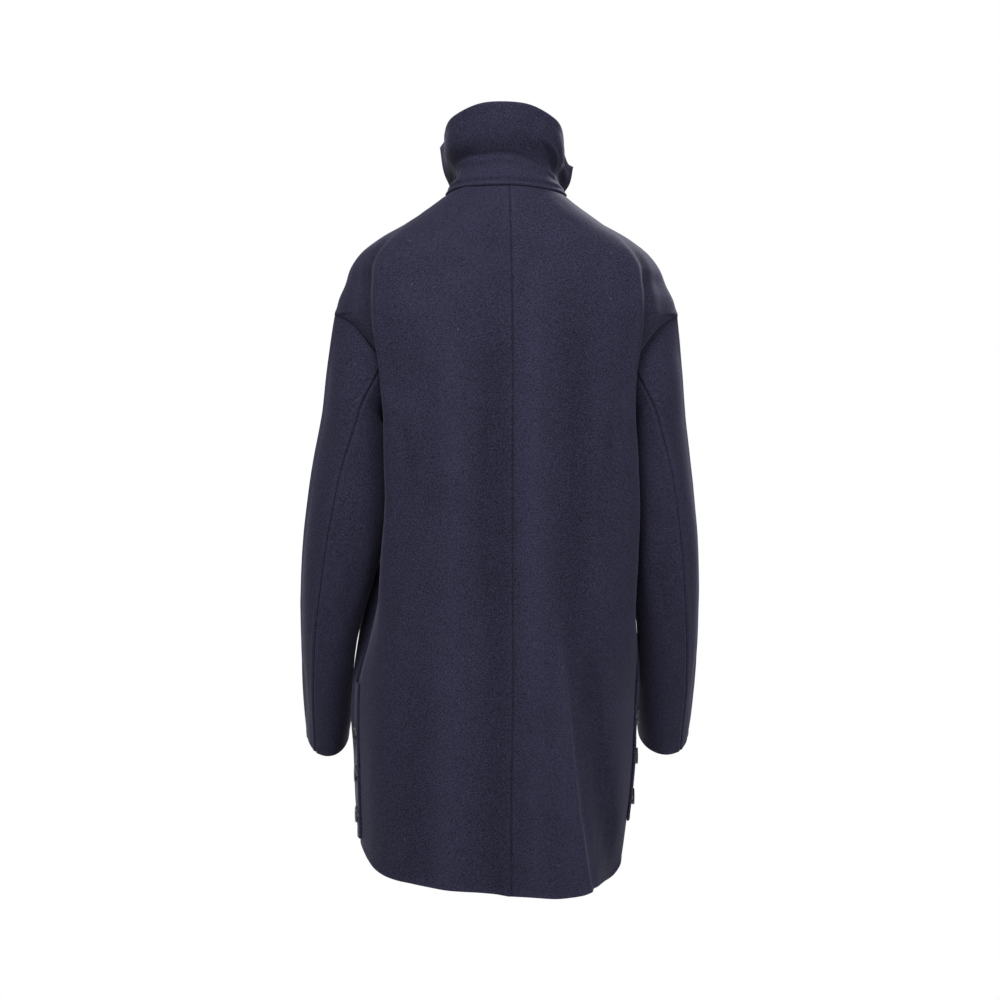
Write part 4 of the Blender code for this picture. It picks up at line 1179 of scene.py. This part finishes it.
@dataclass
class Body:
    """The back halves and the fronts."""

    back_columns: dict[str, int] = field(default_factory=lambda: {"left": 13, "right": 19})
    lap_columns: dict[str, int] = field(default_factory=lambda: {"left": 2, "right": 3})
    back_step: float = 2.8
    front_columns: int = 13
    vent_rows: int = 4
    armpit_row: int = 10
    head_row: int = 34
    back_cut: tuple[float, float, float] = (0.27, 0.87, 0.20)
    front_cut: tuple[float, float, float] = (0.34, 0.82, 0.25)

    def edge(self, row: float, seam_below: EdgeKind = EdgeKind.SEAM) -> EdgeKind:
        """How a panel's outer edge is sewn at a row."""
        if row < self.vent_rows:
            return seam_below
        if self.armpit_row < row < self.head_row:
            return EdgeKind.OVER
        return EdgeKind.SEAM

    def back(self, side: int, name: str) -> Sheet:
        """One half of the back, from the centre seam out to the side."""
        columns = self.back_columns[name]
        heights = FORM.rows_from(-FORM.back_length)
        spots = np.arange(-1, columns + 2) / columns
        grid = np.empty((len(heights), len(spots), 3))
        for i, height in enumerate(heights):
            near_hem = 1.0 - float(ease(-FORM.back_length, FORM.hem_fade, height))
            for j, spot in enumerate(spots):
                rise = near_hem * FORM.back_hem(min(abs(spot), 1.0), side)
                grid[i, j] = FORM.back_point(side, height + rise, spot)
        top = len(heights) - 1

        def kinds(row: float, column: float) -> EdgeKind:
            """How the back ends at a place on its outline."""
            if row < TINY:
                return EdgeKind.TURNED
            if row > top - TINY:
                return EdgeKind.UNDER
            return self.edge(row, EdgeKind.TURNED) if column > 2 else EdgeKind.SEAM

        return Sheet(
            f"cloth_back_{name}", with_chart(grid), FORM.cloth, side > 0, BACK_CREASES,
            (0, top), (1, columns + 1), kinds, ghosts=(1, 1), step=self.back_step,
            corners=(self.armpit_row, self.head_row),
            # The soft folds are already in the grid, so they are passed again only for the painted
            # fold shade.
            form=lambda x, height: FORM.soft_folds(x, height, side),
        )

    def front(self, side: int, name: str) -> Sheet:
        """One front, from its edge out to the side seam and, in the vent, on over the back."""
        heights = FORM.rows_from(FORM.front_hem)
        laps, count = self.lap_columns[name], self.front_columns
        lap = np.empty((len(heights), count + laps + 1, 3))
        seam = np.empty_like(lap)
        for i, height in enumerate(heights):
            first = FORM.front_spot(height, FORM.front_edge(height))
            for j in range(count + 2):
                spot = first + (1.0 - first) * j / count
                seam[i, j] = FORM.front_place(side, height, spot)
            lap[i, : count + 1] = seam[i, : count + 1]
            near_hem = 1.0 - float(ease(FORM.front_hem, FORM.hem_fade, height))
            z = height + near_hem * (FORM.front_hem_at(side * FORM.side_x) - FORM.front_hem)
            for j in range(1, laps + 1):
                spot = 1.0 - j / self.back_columns[name]
                lap[i, count + j] = FORM.lap_point(side, z, spot, FORM.lap_lift)[0]
            for j in range(count + 2, count + laps + 1):
                seam[i, j] = 2 * seam[i, j - 1] - seam[i, j - 2]
            if i <= self.vent_rows:
                seam[i, count + 1 :] = lap[i, count + 1 :]
        top = len(heights) - 1

        def keep(row: float, column: float) -> bool:
            """Whether there is cloth at a place."""
            return column < count or row < self.vent_rows

        def kinds(row: float, column: float) -> EdgeKind:
            """How the front ends at a place on its outline."""
            if row < TINY or column < TINY:
                return EdgeKind.TURNED
            if row > top - TINY:
                return EdgeKind.UNDER
            if row <= self.vent_rows + TINY and column > count + TINY:
                return EdgeKind.TURNED
            return self.edge(row)

        return Sheet(
            f"cloth_front_{name}", with_chart(seam), FORM.cloth, side < 0, FRONT_CREASES,
            (0, self.vent_rows, top), (0, count, count + laps), kinds,
            lap=with_chart(lap), lap_column=count, keep=keep,
            corners=(self.armpit_row, self.head_row),
        )

    def build(self, wool: bpy.types.Material) -> None:
        """Builds and dresses the backs and the fronts."""
        for side, name in SIDES:
            for part, sheet, cut in (
                ("back", self.back(side, name), self.back_cut),
                ("front", self.front(side, name), self.front_cut),
            ):
                piece = sheet.build()
                dress(piece, f"{part}_{name}", [wool])


@dataclass
class Sleeves:
    """Two-piece sleeves, each a back strip and a wide front part."""

    rows: int = 42
    strip_steps: int = 6
    rest_steps: int = 18
    length: float = 496.0
    tuck: float = 3.1
    swell: float = 0.9
    strip_cut: tuple[float, float] = (0.062, 0.52)
    rest_cut: tuple[float, float] = (0.25, 0.52)

    def part(self, side: int, name: str, part: str) -> Sheet:
        """One part of a sleeve, from the armhole down to the cuff."""
        downs = np.linspace(0.0, 1.0, self.rows + 1)
        overarm, back = smooth(SLEEVE_SEAMS[:, 0], SLEEVE_SEAMS[:, 1:], downs).T
        low, high = (overarm, back) if part == "back" else (back, overarm + 360.0)
        steps = self.strip_steps if part == "back" else self.rest_steps
        angles = low[:, None] + (high - low)[:, None] * np.arange(-1, steps + 2) / steps
        grid = FORM.sleeve_grid(side, angles, downs)
        grid[0] -= self.tuck * unit(grid[1] - grid[0])
        along = np.broadcast_to(downs[:, None] * self.length, angles.shape)
        chart = np.stack([angles * SLEEVE_ROUND, along], axis=2)

        def kinds(row: float, column: float) -> EdgeKind:
            """How the sleeve ends at a place on its outline."""
            if row < TINY:
                return EdgeKind.UNDER
            return EdgeKind.TURNED if row > self.rows - TINY else EdgeKind.SEAM

        creases = LEFT_SLEEVE_CREASES if side > 0 else RIGHT_SLEEVE_CREASES
        return Sheet(
            f"cloth_sleeve_{part}_{name}", np.concatenate([grid, chart], axis=2), FORM.cloth,
            side > 0, creases, (0, self.rows), (1, steps + 1), kinds,
            ghosts=(1, 1), wrap=360.0 * SLEEVE_ROUND, swell=self.swell,
        )

    def build(self, wool: bpy.types.Material) -> None:
        """Builds and dresses both sleeves."""
        for side, name in SIDES:
            for part, cut in (("back", self.strip_cut), ("front", self.rest_cut)):
                piece = self.part(side, name, part).build()
                dress(piece, f"sleeve_{part}_{name}", [wool])


@dataclass
class CollarAndLapels:
    """The turned-up collar and the lapels folded back over the fronts."""

    sway: float = 3.0
    lift: float = 0.9
    tuck: float = 2.2
    piping: float = 0.9
    lapel_gap: float = 1.8
    lapel_belly: float = 6.0
    lapel_curve: float = 0.92
    lapel_point: tuple[float, float] = (150.0, -92.0)
    roll_turns: tuple[float, ...] = (180.0, 150.0, 120.0, 90.0, 60.0, 30.0)
    collar_cut: tuple[float, float, float] = (0.36, 0.11, 0.031)
    lapel_cuts: dict[str, tuple[float, float, float]] = field(
        default_factory=lambda: {"left": (0.17, 0.21, 0.017), "right": (0.17, 0.26, 0.021)}
    )

    def collar(self) -> Sheet:
        """The collar: a stand that leans in to a crease, and a fall that leans out."""
        spots, heights = np.linspace(-1.0, 1.0, 73), np.linspace(0.0, 1.0, 25)
        table = smooth(COLLAR[:, 0], COLLAR[:, 1:], spots)
        near, far = (
            smooth(COLLAR[:, 0], COLLAR[:, 1:3], np.clip(spots + step, -1, 1))
            for step in (-0.01, 0.01)
        )
        ahead = unit(far - near)
        out = np.column_stack([-ahead[:, 1], ahead[:, 0]])
        crease, flare = table[:, 4], table[:, 5]
        foot = table[:, 2] + FORM.neck_rise(table[:, 0], table[:, 1])
        tall = table[:, 2] + table[:, 3] - foot
        shape = np.stack([0 * crease, 0.05 * crease, -0.6 * crease, -crease, 0.6 * flare, flare])
        grid = np.empty((len(heights), len(spots), 5))
        bulge = smooth((0.0, 0.08, 0.18, 0.34, 0.62, 1.0), shape, heights)
        run = run_along(table[None, :, :2], 1)[0]
        for i, share in enumerate(heights):
            grid[i, :, :2] = table[:, :2] + out * bulge[i][:, None]
            grid[i, :, 0] += self.sway * share
            grid[i, :, 2] = foot + self.lift + tall * share
            grid[i, :, 3] = run - run[len(run) // 2]
            grid[i, :, 4] = tall * share
        grid[0, :, 2] -= self.lift + self.tuck
        grid[0, :, :2] += self.piping * out

        def kinds(row: float, column: float) -> EdgeKind:
            """How the collar ends at a place on its outline."""
            return EdgeKind.PIPED if row < TINY else EdgeKind.TURNED

        return Sheet(
            "cloth_collar", grid, FORM.doubled, True, COLLAR_CREASES,
            (0, len(heights) - 1), (0, len(spots) - 1), kinds, step=2.2,
        )

    def lapel(self, side: int, name: str) -> Sheet:
        """A lapel: its roll round the front's edge, then its fall over the front."""
        along = np.linspace(0.03, 0.97 if side < 0 else 0.60, 25 if side < 0 else 17)
        across = np.linspace(0.0, 1.0, 8)
        rolls = len(self.roll_turns)
        grid = np.empty((len(along), rolls + len(across), 3))
        point_x, point_z = self.lapel_point
        for i, down in enumerate(along):
            height = FORM.gorge + (FORM.break_point - FORM.gorge) * down
            roll_x = FORM.front_edge(height)
            belly = self.lapel_belly * math.sin(math.pi * down)
            edge_x = point_x + (-FORM.overlap - point_x) * down**self.lapel_curve + belly
            edge_z = point_z + (FORM.break_point - point_z) * down**self.lapel_curve
            for j in range(rolls + len(across)):
                share = 0.0 if j < rolls else float(across[j - rolls])
                x, z = roll_x + (edge_x - roll_x) * share, height + (edge_z - height) * share
                radius = (FORM.doubled + self.lapel_gap + FORM.cloth) / 2
                turn = math.radians(self.roll_turns[j]) if j < rolls else 0.0
                x -= radius * math.sin(turn)
                spot = FORM.front_spot(z, x)
                lift = FORM.wrap_lift(side, FORM.front_spot(z, x + radius * math.sin(turn)), z)
                lift += FORM.doubled + self.lapel_gap + self.lift * share
                lift -= radius * (1 - math.cos(turn))
                point = FORM.front_point(z, spot, lift)
                grid[i, j] = (side * point[0] + float(FORM.lean(z)), point[1], z)
        last = len(along) - 1

        def kinds(row: float, column: float) -> EdgeKind:
            """How the lapel ends at a place on its outline."""
            return EdgeKind.INSIDE if column < TINY else EdgeKind.TURNED

        return Sheet(
            f"cloth_lapel_{name}", with_chart(grid), FORM.doubled, side > 0, FRONT_CREASES,
            (0, last), (0, rolls + len(across) - 1), kinds, step=2.6,
        )

    def build(self, wool: bpy.types.Material) -> None:
        """Builds and dresses the collar and both lapels."""
        collar = self.collar().build()
        dress(collar, "collar", [wool])
        for side, name in SIDES:
            lapel = self.lapel(side, name).build()
            dress(lapel, f"lapel_{name}", [wool])


def surface_frame(place: np.ndarray, out: np.ndarray, along: np.ndarray) -> Matrix:
    """A frame in metres at a place in millimetres, with X along and Z out."""
    z = Vector(out).normalized()
    x = Vector(along)
    x = (x - x.dot(z) * z).normalized()
    axes = Matrix((x, z.cross(x), z)).transposed().to_4x4()
    return Matrix.Translation(Vector(place) * MM) @ axes


def choose(*objects: bpy.types.Object) -> None:
    """Selects only these objects and makes the first one active."""
    bpy.ops.object.select_all(action="DESELECT")
    for one in objects:
        one.select_set(True)
    bpy.context.view_layer.objects.active = objects[0]


def show(name: str, mesh: bpy.types.Mesh) -> bpy.types.Object:
    """An object of a mesh, put into the scene."""
    made = bpy.data.objects.new(name, mesh)
    bpy.context.scene.collection.objects.link(made)
    return made


@dataclass
class ButtonPattern:
    """A turned four-hole button, sewn on with a shank of thread. Sizes are in millimetres."""

    diameter: float
    thickness: float
    holes: float = 2.3
    hole_size: float = 0.95
    gap: float = 0.4

    def build(
        self, name: str, horn: bpy.types.Material, thread: bpy.types.Material
    ) -> bpy.types.Object:
        """Models the button about the origin, its back at height 0 and its face up."""
        r, t = self.diameter / 2 * MM, self.thickness * MM
        bpy.ops.object.select_all(action="DESELECT")
        bpy.ops.mesh.primitive_cylinder_add(vertices=48, radius=r, depth=t, location=(0, 0, t / 2))
        button = bpy.context.object
        button.name = name
        self.shape(button, r, t)
        self.pierce(button, t)
        bevel = button.modifiers.new("round", "BEVEL")
        bevel.width, bevel.segments = 0.35 * MM, 3
        bevel.limit_method, bevel.angle_limit = "ANGLE", 0.6
        bpy.ops.object.modifier_apply(modifier="round")
        button.data.materials.append(horn)
        button.data.materials.append(thread)
        strands = self.thread(t)
        for strand in strands:
            strand.data.materials.append(thread)
        choose(button, *strands)
        bpy.ops.object.join()
        bpy.ops.object.shade_smooth_by_angle(angle=math.radians(35))
        return button

    def shape(self, button: bpy.types.Object, r: float, t: float) -> None:
        """Turns the dish into the face and the taper under the rim."""
        bpy.ops.object.mode_set(mode="EDIT")
        bpy.ops.mesh.select_mode(type="FACE")
        for top in (True, False):
            bpy.ops.mesh.select_all(action="DESELECT")
            body = bmesh.from_edit_mesh(button.data)
            body.faces.ensure_lookup_table()
            for face in body.faces:
                face.select = face.normal.z > 0.9 if top else face.normal.z < -0.9
            bmesh.update_edit_mesh(button.data)
            if top:
                bpy.ops.transform.resize(value=(0.955, 0.955, 1.0))
                bpy.ops.mesh.inset(thickness=r * 0.13, depth=0.0)
                bpy.ops.mesh.inset(thickness=r * 0.20, depth=-t * 0.34)
                bpy.ops.mesh.inset(thickness=r * 0.30, depth=-t * 0.03)
            else:
                bpy.ops.transform.resize(value=(0.93, 0.93, 1.0))
                bpy.ops.mesh.inset(thickness=r * 0.40, depth=0.0)
        bpy.ops.mesh.select_all(action="DESELECT")
        body = bmesh.from_edit_mesh(button.data)
        for vert in body.verts:
            vert.select = vert.co.z < t * 0.05 and vert.co.xy.length > r * 0.8
        body.select_flush_mode()
        bmesh.update_edit_mesh(button.data)
        bpy.ops.mesh.select_mode(type="VERT")
        bpy.ops.transform.translate(value=(0, 0, t * 0.25))
        bpy.ops.object.mode_set(mode="OBJECT")

    def pierce(self, button: bpy.types.Object, t: float) -> None:
        """Drills the four holes."""
        drills = []
        for x, y in ((-1, -1), (-1, 1), (1, -1), (1, 1)):
            bpy.ops.mesh.primitive_cylinder_add(
                vertices=16, radius=self.hole_size * MM, depth=t * 3,
                location=(x * self.holes * MM, y * self.holes * MM, t / 2),
            )
            drills.append(bpy.context.object)
        choose(*drills)
        bpy.ops.object.join()
        drill = bpy.context.object
        choose(button)
        cut = button.modifiers.new("holes", "BOOLEAN")
        cut.object, cut.operation, cut.solver = drill, "DIFFERENCE", "EXACT"
        bpy.ops.object.modifier_apply(modifier="holes")
        bpy.data.objects.remove(drill, do_unlink=True)

    def thread(self, t: float) -> list[bpy.types.Object]:
        """Two pairs of strands over the face, and the wound shank under the back."""
        made = []
        for side in (-1, 1):
            for offset in (-0.28, 0.28):
                place = ((side * self.holes + offset) * MM, 0.0, t * 0.52)
                bpy.ops.mesh.primitive_torus_add(
                    major_segments=24, minor_segments=8, major_radius=self.holes * MM,
                    minor_radius=0.30 * MM, location=place, rotation=(0.0, math.pi / 2, 0.0),
                )
                bpy.ops.object.transform_apply(location=False, rotation=True, scale=False)
                strand = bpy.context.object
                strand.scale = (1.0, 1.0, 0.50)
                bpy.ops.object.transform_apply(location=False, rotation=False, scale=True)
                made.append(strand)
        for turn in range(4):
            place = (0.0, 0.0, (-self.gap - 0.35 + 0.5 * turn) * MM)
            bpy.ops.mesh.primitive_torus_add(
                major_segments=20, minor_segments=8, major_radius=1.5 * MM,
                minor_radius=0.36 * MM, location=place,
            )
            made.append(bpy.context.object)
        for strand in made:
            choose(strand)
            bpy.ops.object.transform_apply(location=True, rotation=True, scale=True)
        return made


@dataclass
class Fastenings:
    """Buttons and buttonholes, on the fronts and on the vents."""

    front_rows: tuple[float, ...] = (-300.0, -425.0, -550.0)
    front_x: float = 62.0
    front_button: ButtonPattern = field(default_factory=lambda: ButtonPattern(28.0, 5.0))
    vent_button: ButtonPattern = field(default_factory=lambda: ButtonPattern(21.0, 4.2, 1.9, 0.85))
    vent_above_hem: tuple[float, ...] = (29.0, 79.0, 129.0)
    vent_spot: float = 0.921
    stitch_pitch: float = 0.62
    stitch_reach: float = 1.25
    stitch_lift: float = 0.12
    slit_half: float = 0.42
    slit_depth: float = 0.5
    slit_proud: float = 0.10

    def front_surface(self, x: float, z: float, lift: float = 0.0) -> Placed:
        """A point of the worn right front at x across the coat, and the way out of the cloth."""
        across = float(FORM.lean(z)) - x
        spot = FORM.front_spot(z, across)
        base = FORM.wrap_lift(-1, spot, z) + lift
        mirror = np.array([-1.0, 1.0, 1.0])
        seat, top = (FORM.front_point(z, spot, base + step) * mirror for step in (0.0, 10.0))
        return seat + (float(FORM.lean(z)), 0, 0), unit(top - seat)

    def seats(self) -> list[tuple[str, ButtonPattern, np.ndarray, np.ndarray]]:
        """Node, pattern, place and direction of every button."""
        made = []
        for row, z in enumerate(self.front_rows, start=1):
            for way, name in SIDES:
                spot = FORM.front_spot(z, -way * self.front_x)
                x = float(FORM.lean(z)) + way * abs(FORM.front_point(z, spot)[0])
                place, out = self.front_surface(x, z, self.front_button.gap)
                made.append((f"button_{name}_{row}", self.front_button, place, out))
        for side, name in SIDES:
            for row, above in enumerate(self.vent_above_hem, start=1):
                z = FORM.front_hem_at(side * FORM.side_x) + above
                lift = FORM.lap_lift + self.vent_button.gap
                place, out = FORM.lap_point(side, z, self.vent_spot, lift)
                made.append((f"vent_button_{name}_{row}", self.vent_button, place, out))
        return made

    def buttons(self, horn: bpy.types.Material, thread: bpy.types.Material) -> None:
        """Models one button of each size and sews a copy on at every seat."""
        patterns = {}
        for turn, (node, pattern, place, out) in enumerate(self.seats()):
            size = pattern.diameter
            if size not in patterns:
                patterns[size] = pattern.build(f"pattern_{size:.0f}", horn, thread)
            mesh = patterns[size].data.copy()
            tilt = Matrix.Rotation(math.radians((turn * 37) % 23 - 11), 4, "Z")
            mesh.transform(surface_frame(place, out, np.array([1.0, 0.3, 0.0])) @ tilt)
            dress(show(f"sewn_{node}", mesh), node)
        for pattern in patterns.values():
            bpy.data.objects.remove(pattern, do_unlink=True)

    def stitch(self) -> bpy.types.Mesh:
        """One overcast stitch about the origin, lying along Y."""
        bpy.ops.object.select_all(action="DESELECT")
        bpy.ops.mesh.primitive_uv_sphere_add(segments=8, ring_count=6, radius=1.0)
        made = bpy.context.object
        made.scale = (0.36 * MM, 1.15 * MM, 0.42 * MM)
        bpy.ops.object.transform_apply(location=False, rotation=False, scale=True)
        bpy.ops.object.shade_smooth()
        mesh = made.data.copy()
        bpy.data.objects.remove(made, do_unlink=True)
        return mesh

    def sew(
        self, name: str, length: float, at: Callable[[float, float], Placed],
        slit: bpy.types.Material, thread: bpy.types.Material, stitch: bpy.types.Mesh,
    ) -> None:
        """Sews one buttonhole.

        Args:
            name: Name of the piece.
            length: Length of the slit.
            at: Gives the place on the cloth, from distances along and across the slit.
            slit: Finish of the slit.
            thread: Finish of the stitches.
            stitch: The stitch that is repeated.
        """
        half, rim, deep, proud = self.stitch_reach, self.slit_half, self.slit_depth, self.slit_proud
        stops = np.arange(0.0, length, self.stitch_pitch)
        spots = [(u, way * half, 0.0) for u in stops for way in (-1, 1)]
        for end, start in ((0.0, 90.0), (length, -90.0)):
            for turn in np.arange(start, start + 181.0, 22.5):
                a = math.radians(turn)
                spots.append((end + half * math.cos(a), half * math.sin(a), a - math.pi / 2))
        body = bmesh.new()
        for u, v, turn in spots:
            place, out = at(u, v)
            ahead, _ = at(u + 0.5, v)
            frame_here = surface_frame(place + self.stitch_lift * out, out, ahead - place)
            copy = bmesh.new()
            copy.from_mesh(stitch)
            copy.transform(frame_here @ Matrix.Rotation(turn, 4, "Z"))
            scrap = bpy.data.meshes.new("scrap")
            copy.to_mesh(scrap)
            copy.free()
            body.from_mesh(scrap)
            bpy.data.meshes.remove(scrap)
        for face in body.faces:
            face.material_index, face.smooth = 1, True
        edges = []
        for u in np.linspace(-0.4, length + 0.4, 14):
            place, out = at(u, 0.0)
            beside, _ = at(u, rim)
            way = unit(beside - place) * rim
            ring = (way + proud * out, proud * out - way, -way - deep * out, way - deep * out)
            edges.append([body.verts.new((place + step) * MM) for step in ring])
        ends = [edges[0][::-1], edges[-1]]
        for a, b in zip(edges[:-1], edges[1:]):
            for k in range(4):
                body.faces.new([a[k], a[(k + 1) % 4], b[(k + 1) % 4], b[k]])
        for end in ends:
            body.faces.new(end)
        bmesh.ops.recalc_face_normals(body, faces=[f for f in body.faces if f.material_index == 0])
        mesh = bpy.data.meshes.new(name)
        body.to_mesh(mesh)
        body.free()
        dress(show(name, mesh), None, [slit, thread])

    def buttonholes(self, slit: bpy.types.Material, thread: bpy.types.Material) -> None:
        """Sews the buttonholes that show past the buttons near the front edge and on the vents."""
        stitch = self.stitch()
        for row, z in enumerate(self.front_rows, start=1):
            x0 = float(FORM.lean(z)) + self.front_x

            def on_front(u: float, v: float, x0: float = x0, z: float = z) -> Placed:
                """A place of this buttonhole, and the way out of the cloth."""
                return self.front_surface(x0 - 11.0 + u, z + v)

            self.sew(f"buttonhole_front_{row}", 30.0, on_front, slit, thread, stitch)
        for side, name in SIDES:
            for row, above in enumerate(self.vent_above_hem, start=1):
                z = FORM.front_hem_at(side * FORM.side_x) + above

                def on_vent(u: float, v: float, side: int = side, z: float = z) -> Placed:
                    """A place of this buttonhole, and the way out of the cloth."""
                    spot = self.vent_spot + (9.0 - u) * 0.0042
                    return FORM.lap_point(side, z + v, spot, FORM.lap_lift)

                self.sew(f"buttonhole_vent_{name}_{row}", 22.0, on_vent, slit, thread, stitch)

    def build(
        self, horn: bpy.types.Material, thread: bpy.types.Material, slit: bpy.types.Material
    ) -> None:
        """Builds and dresses all the fastenings."""
        self.buttons(horn, thread)
        self.buttonholes(slit, thread)


# Lights: name, place in metres, size in metres, power in watts
LIGHTS = (
    ("key", (0.3, 1.45, 1.5), 0.7, 135.0),
    ("fill", (-1.1, 2.3, -0.5), 1.2, 27.0),
    ("front", (-0.95, -1.4, 1.5), 0.7, 170.0),
    ("front_fill", (0.9, -2.4, -0.5), 1.2, 22.0),
)


@dataclass
class Studio:
    """Pale floor, soft light and the camera. Sizes are in metres."""

    azimuth: float = 177.0
    distance: float = 4.0
    target: tuple[float, float, float] = (0.0, 0.0, -0.376)
    sensor: float = 36.0
    shift: float = -0.005
    lens: float = 36.0 * 4.0 / 1.236  # 1.236 m of the coat's own plane fill the frame
    floor_height: float = -1.42
    floor_radius: float = 2.5
    surround: float = 1.0

    def light(self, name: str, place: tuple[float, float, float], size: float, power: float) -> None:
        """A square soft light that faces the middle of the coat."""
        data = bpy.data.lights.new(name, "AREA")
        data.shape, data.size, data.energy = "SQUARE", size, power
        made = bpy.data.objects.new(name, data)
        made.visible_camera = False
        made.location = place
        ray = Vector(self.target) - Vector(place)
        made.rotation_euler = ray.to_track_quat("-Z", "Y").to_euler()
        bpy.context.scene.collection.objects.link(made)

    def floor(self) -> None:
        """A round pale floor below the coat."""
        bpy.ops.object.select_all(action="DESELECT")
        bpy.ops.mesh.primitive_circle_add(
            vertices=96, radius=self.floor_radius, fill_type="NGON",
            location=(0, 0, self.floor_height),
        )
        floor = bpy.context.object
        floor.name = "studio_floor"
        bpy.ops.object.transform_apply(location=True, rotation=True, scale=True)
        floor.data.materials.append(FloorFinish().material())

    def camera(self) -> None:
        """The camera at the photograph's angle."""
        a = math.radians(self.azimuth)
        back = Vector((math.sin(a), -math.cos(a), 0.0))
        data = bpy.data.cameras.new("camera")
        data.lens, data.sensor_width, data.shift_x = self.lens, self.sensor, self.shift
        made = bpy.data.objects.new("camera", data)
        made.location = Vector(self.target) + back * self.distance
        made.rotation_euler = (-back).to_track_quat("-Z", "Y").to_euler()
        bpy.context.scene.collection.objects.link(made)
        bpy.context.scene.camera = made

    def build(self) -> None:
        """Builds the floor, the lights, the surround and the camera."""
        self.floor()
        for name, place, size, power in LIGHTS:
            self.light(name, place, size, power)
        world = bpy.data.worlds.new("studio")
        world.use_nodes = True
        surround = world.node_tree.nodes["Background"].inputs
        surround["Color"].default_value = (1.0, 1.0, 1.0, 1.0)
        surround["Strength"].default_value = self.surround
        bpy.context.scene.world = world
        bpy.context.scene.view_settings.view_transform = "Standard"
        self.camera()


def main() -> None:
    """Builds the coat's pieces and the studio."""
    logging.basicConfig(level=logging.INFO, format="%(name)s: %(message)s")
    wool, horn = WoolFinish().material(), HornFinish().material()
    thread, slit = ThreadFinish().material(), SlitFinish().material()
    Body().build(wool)
    Sleeves().build(wool)
    CollarAndLapels().build(wool)
    Fastenings().build(horn, thread, slit)
    Studio().build()


if __name__ == "__main__":
    main()
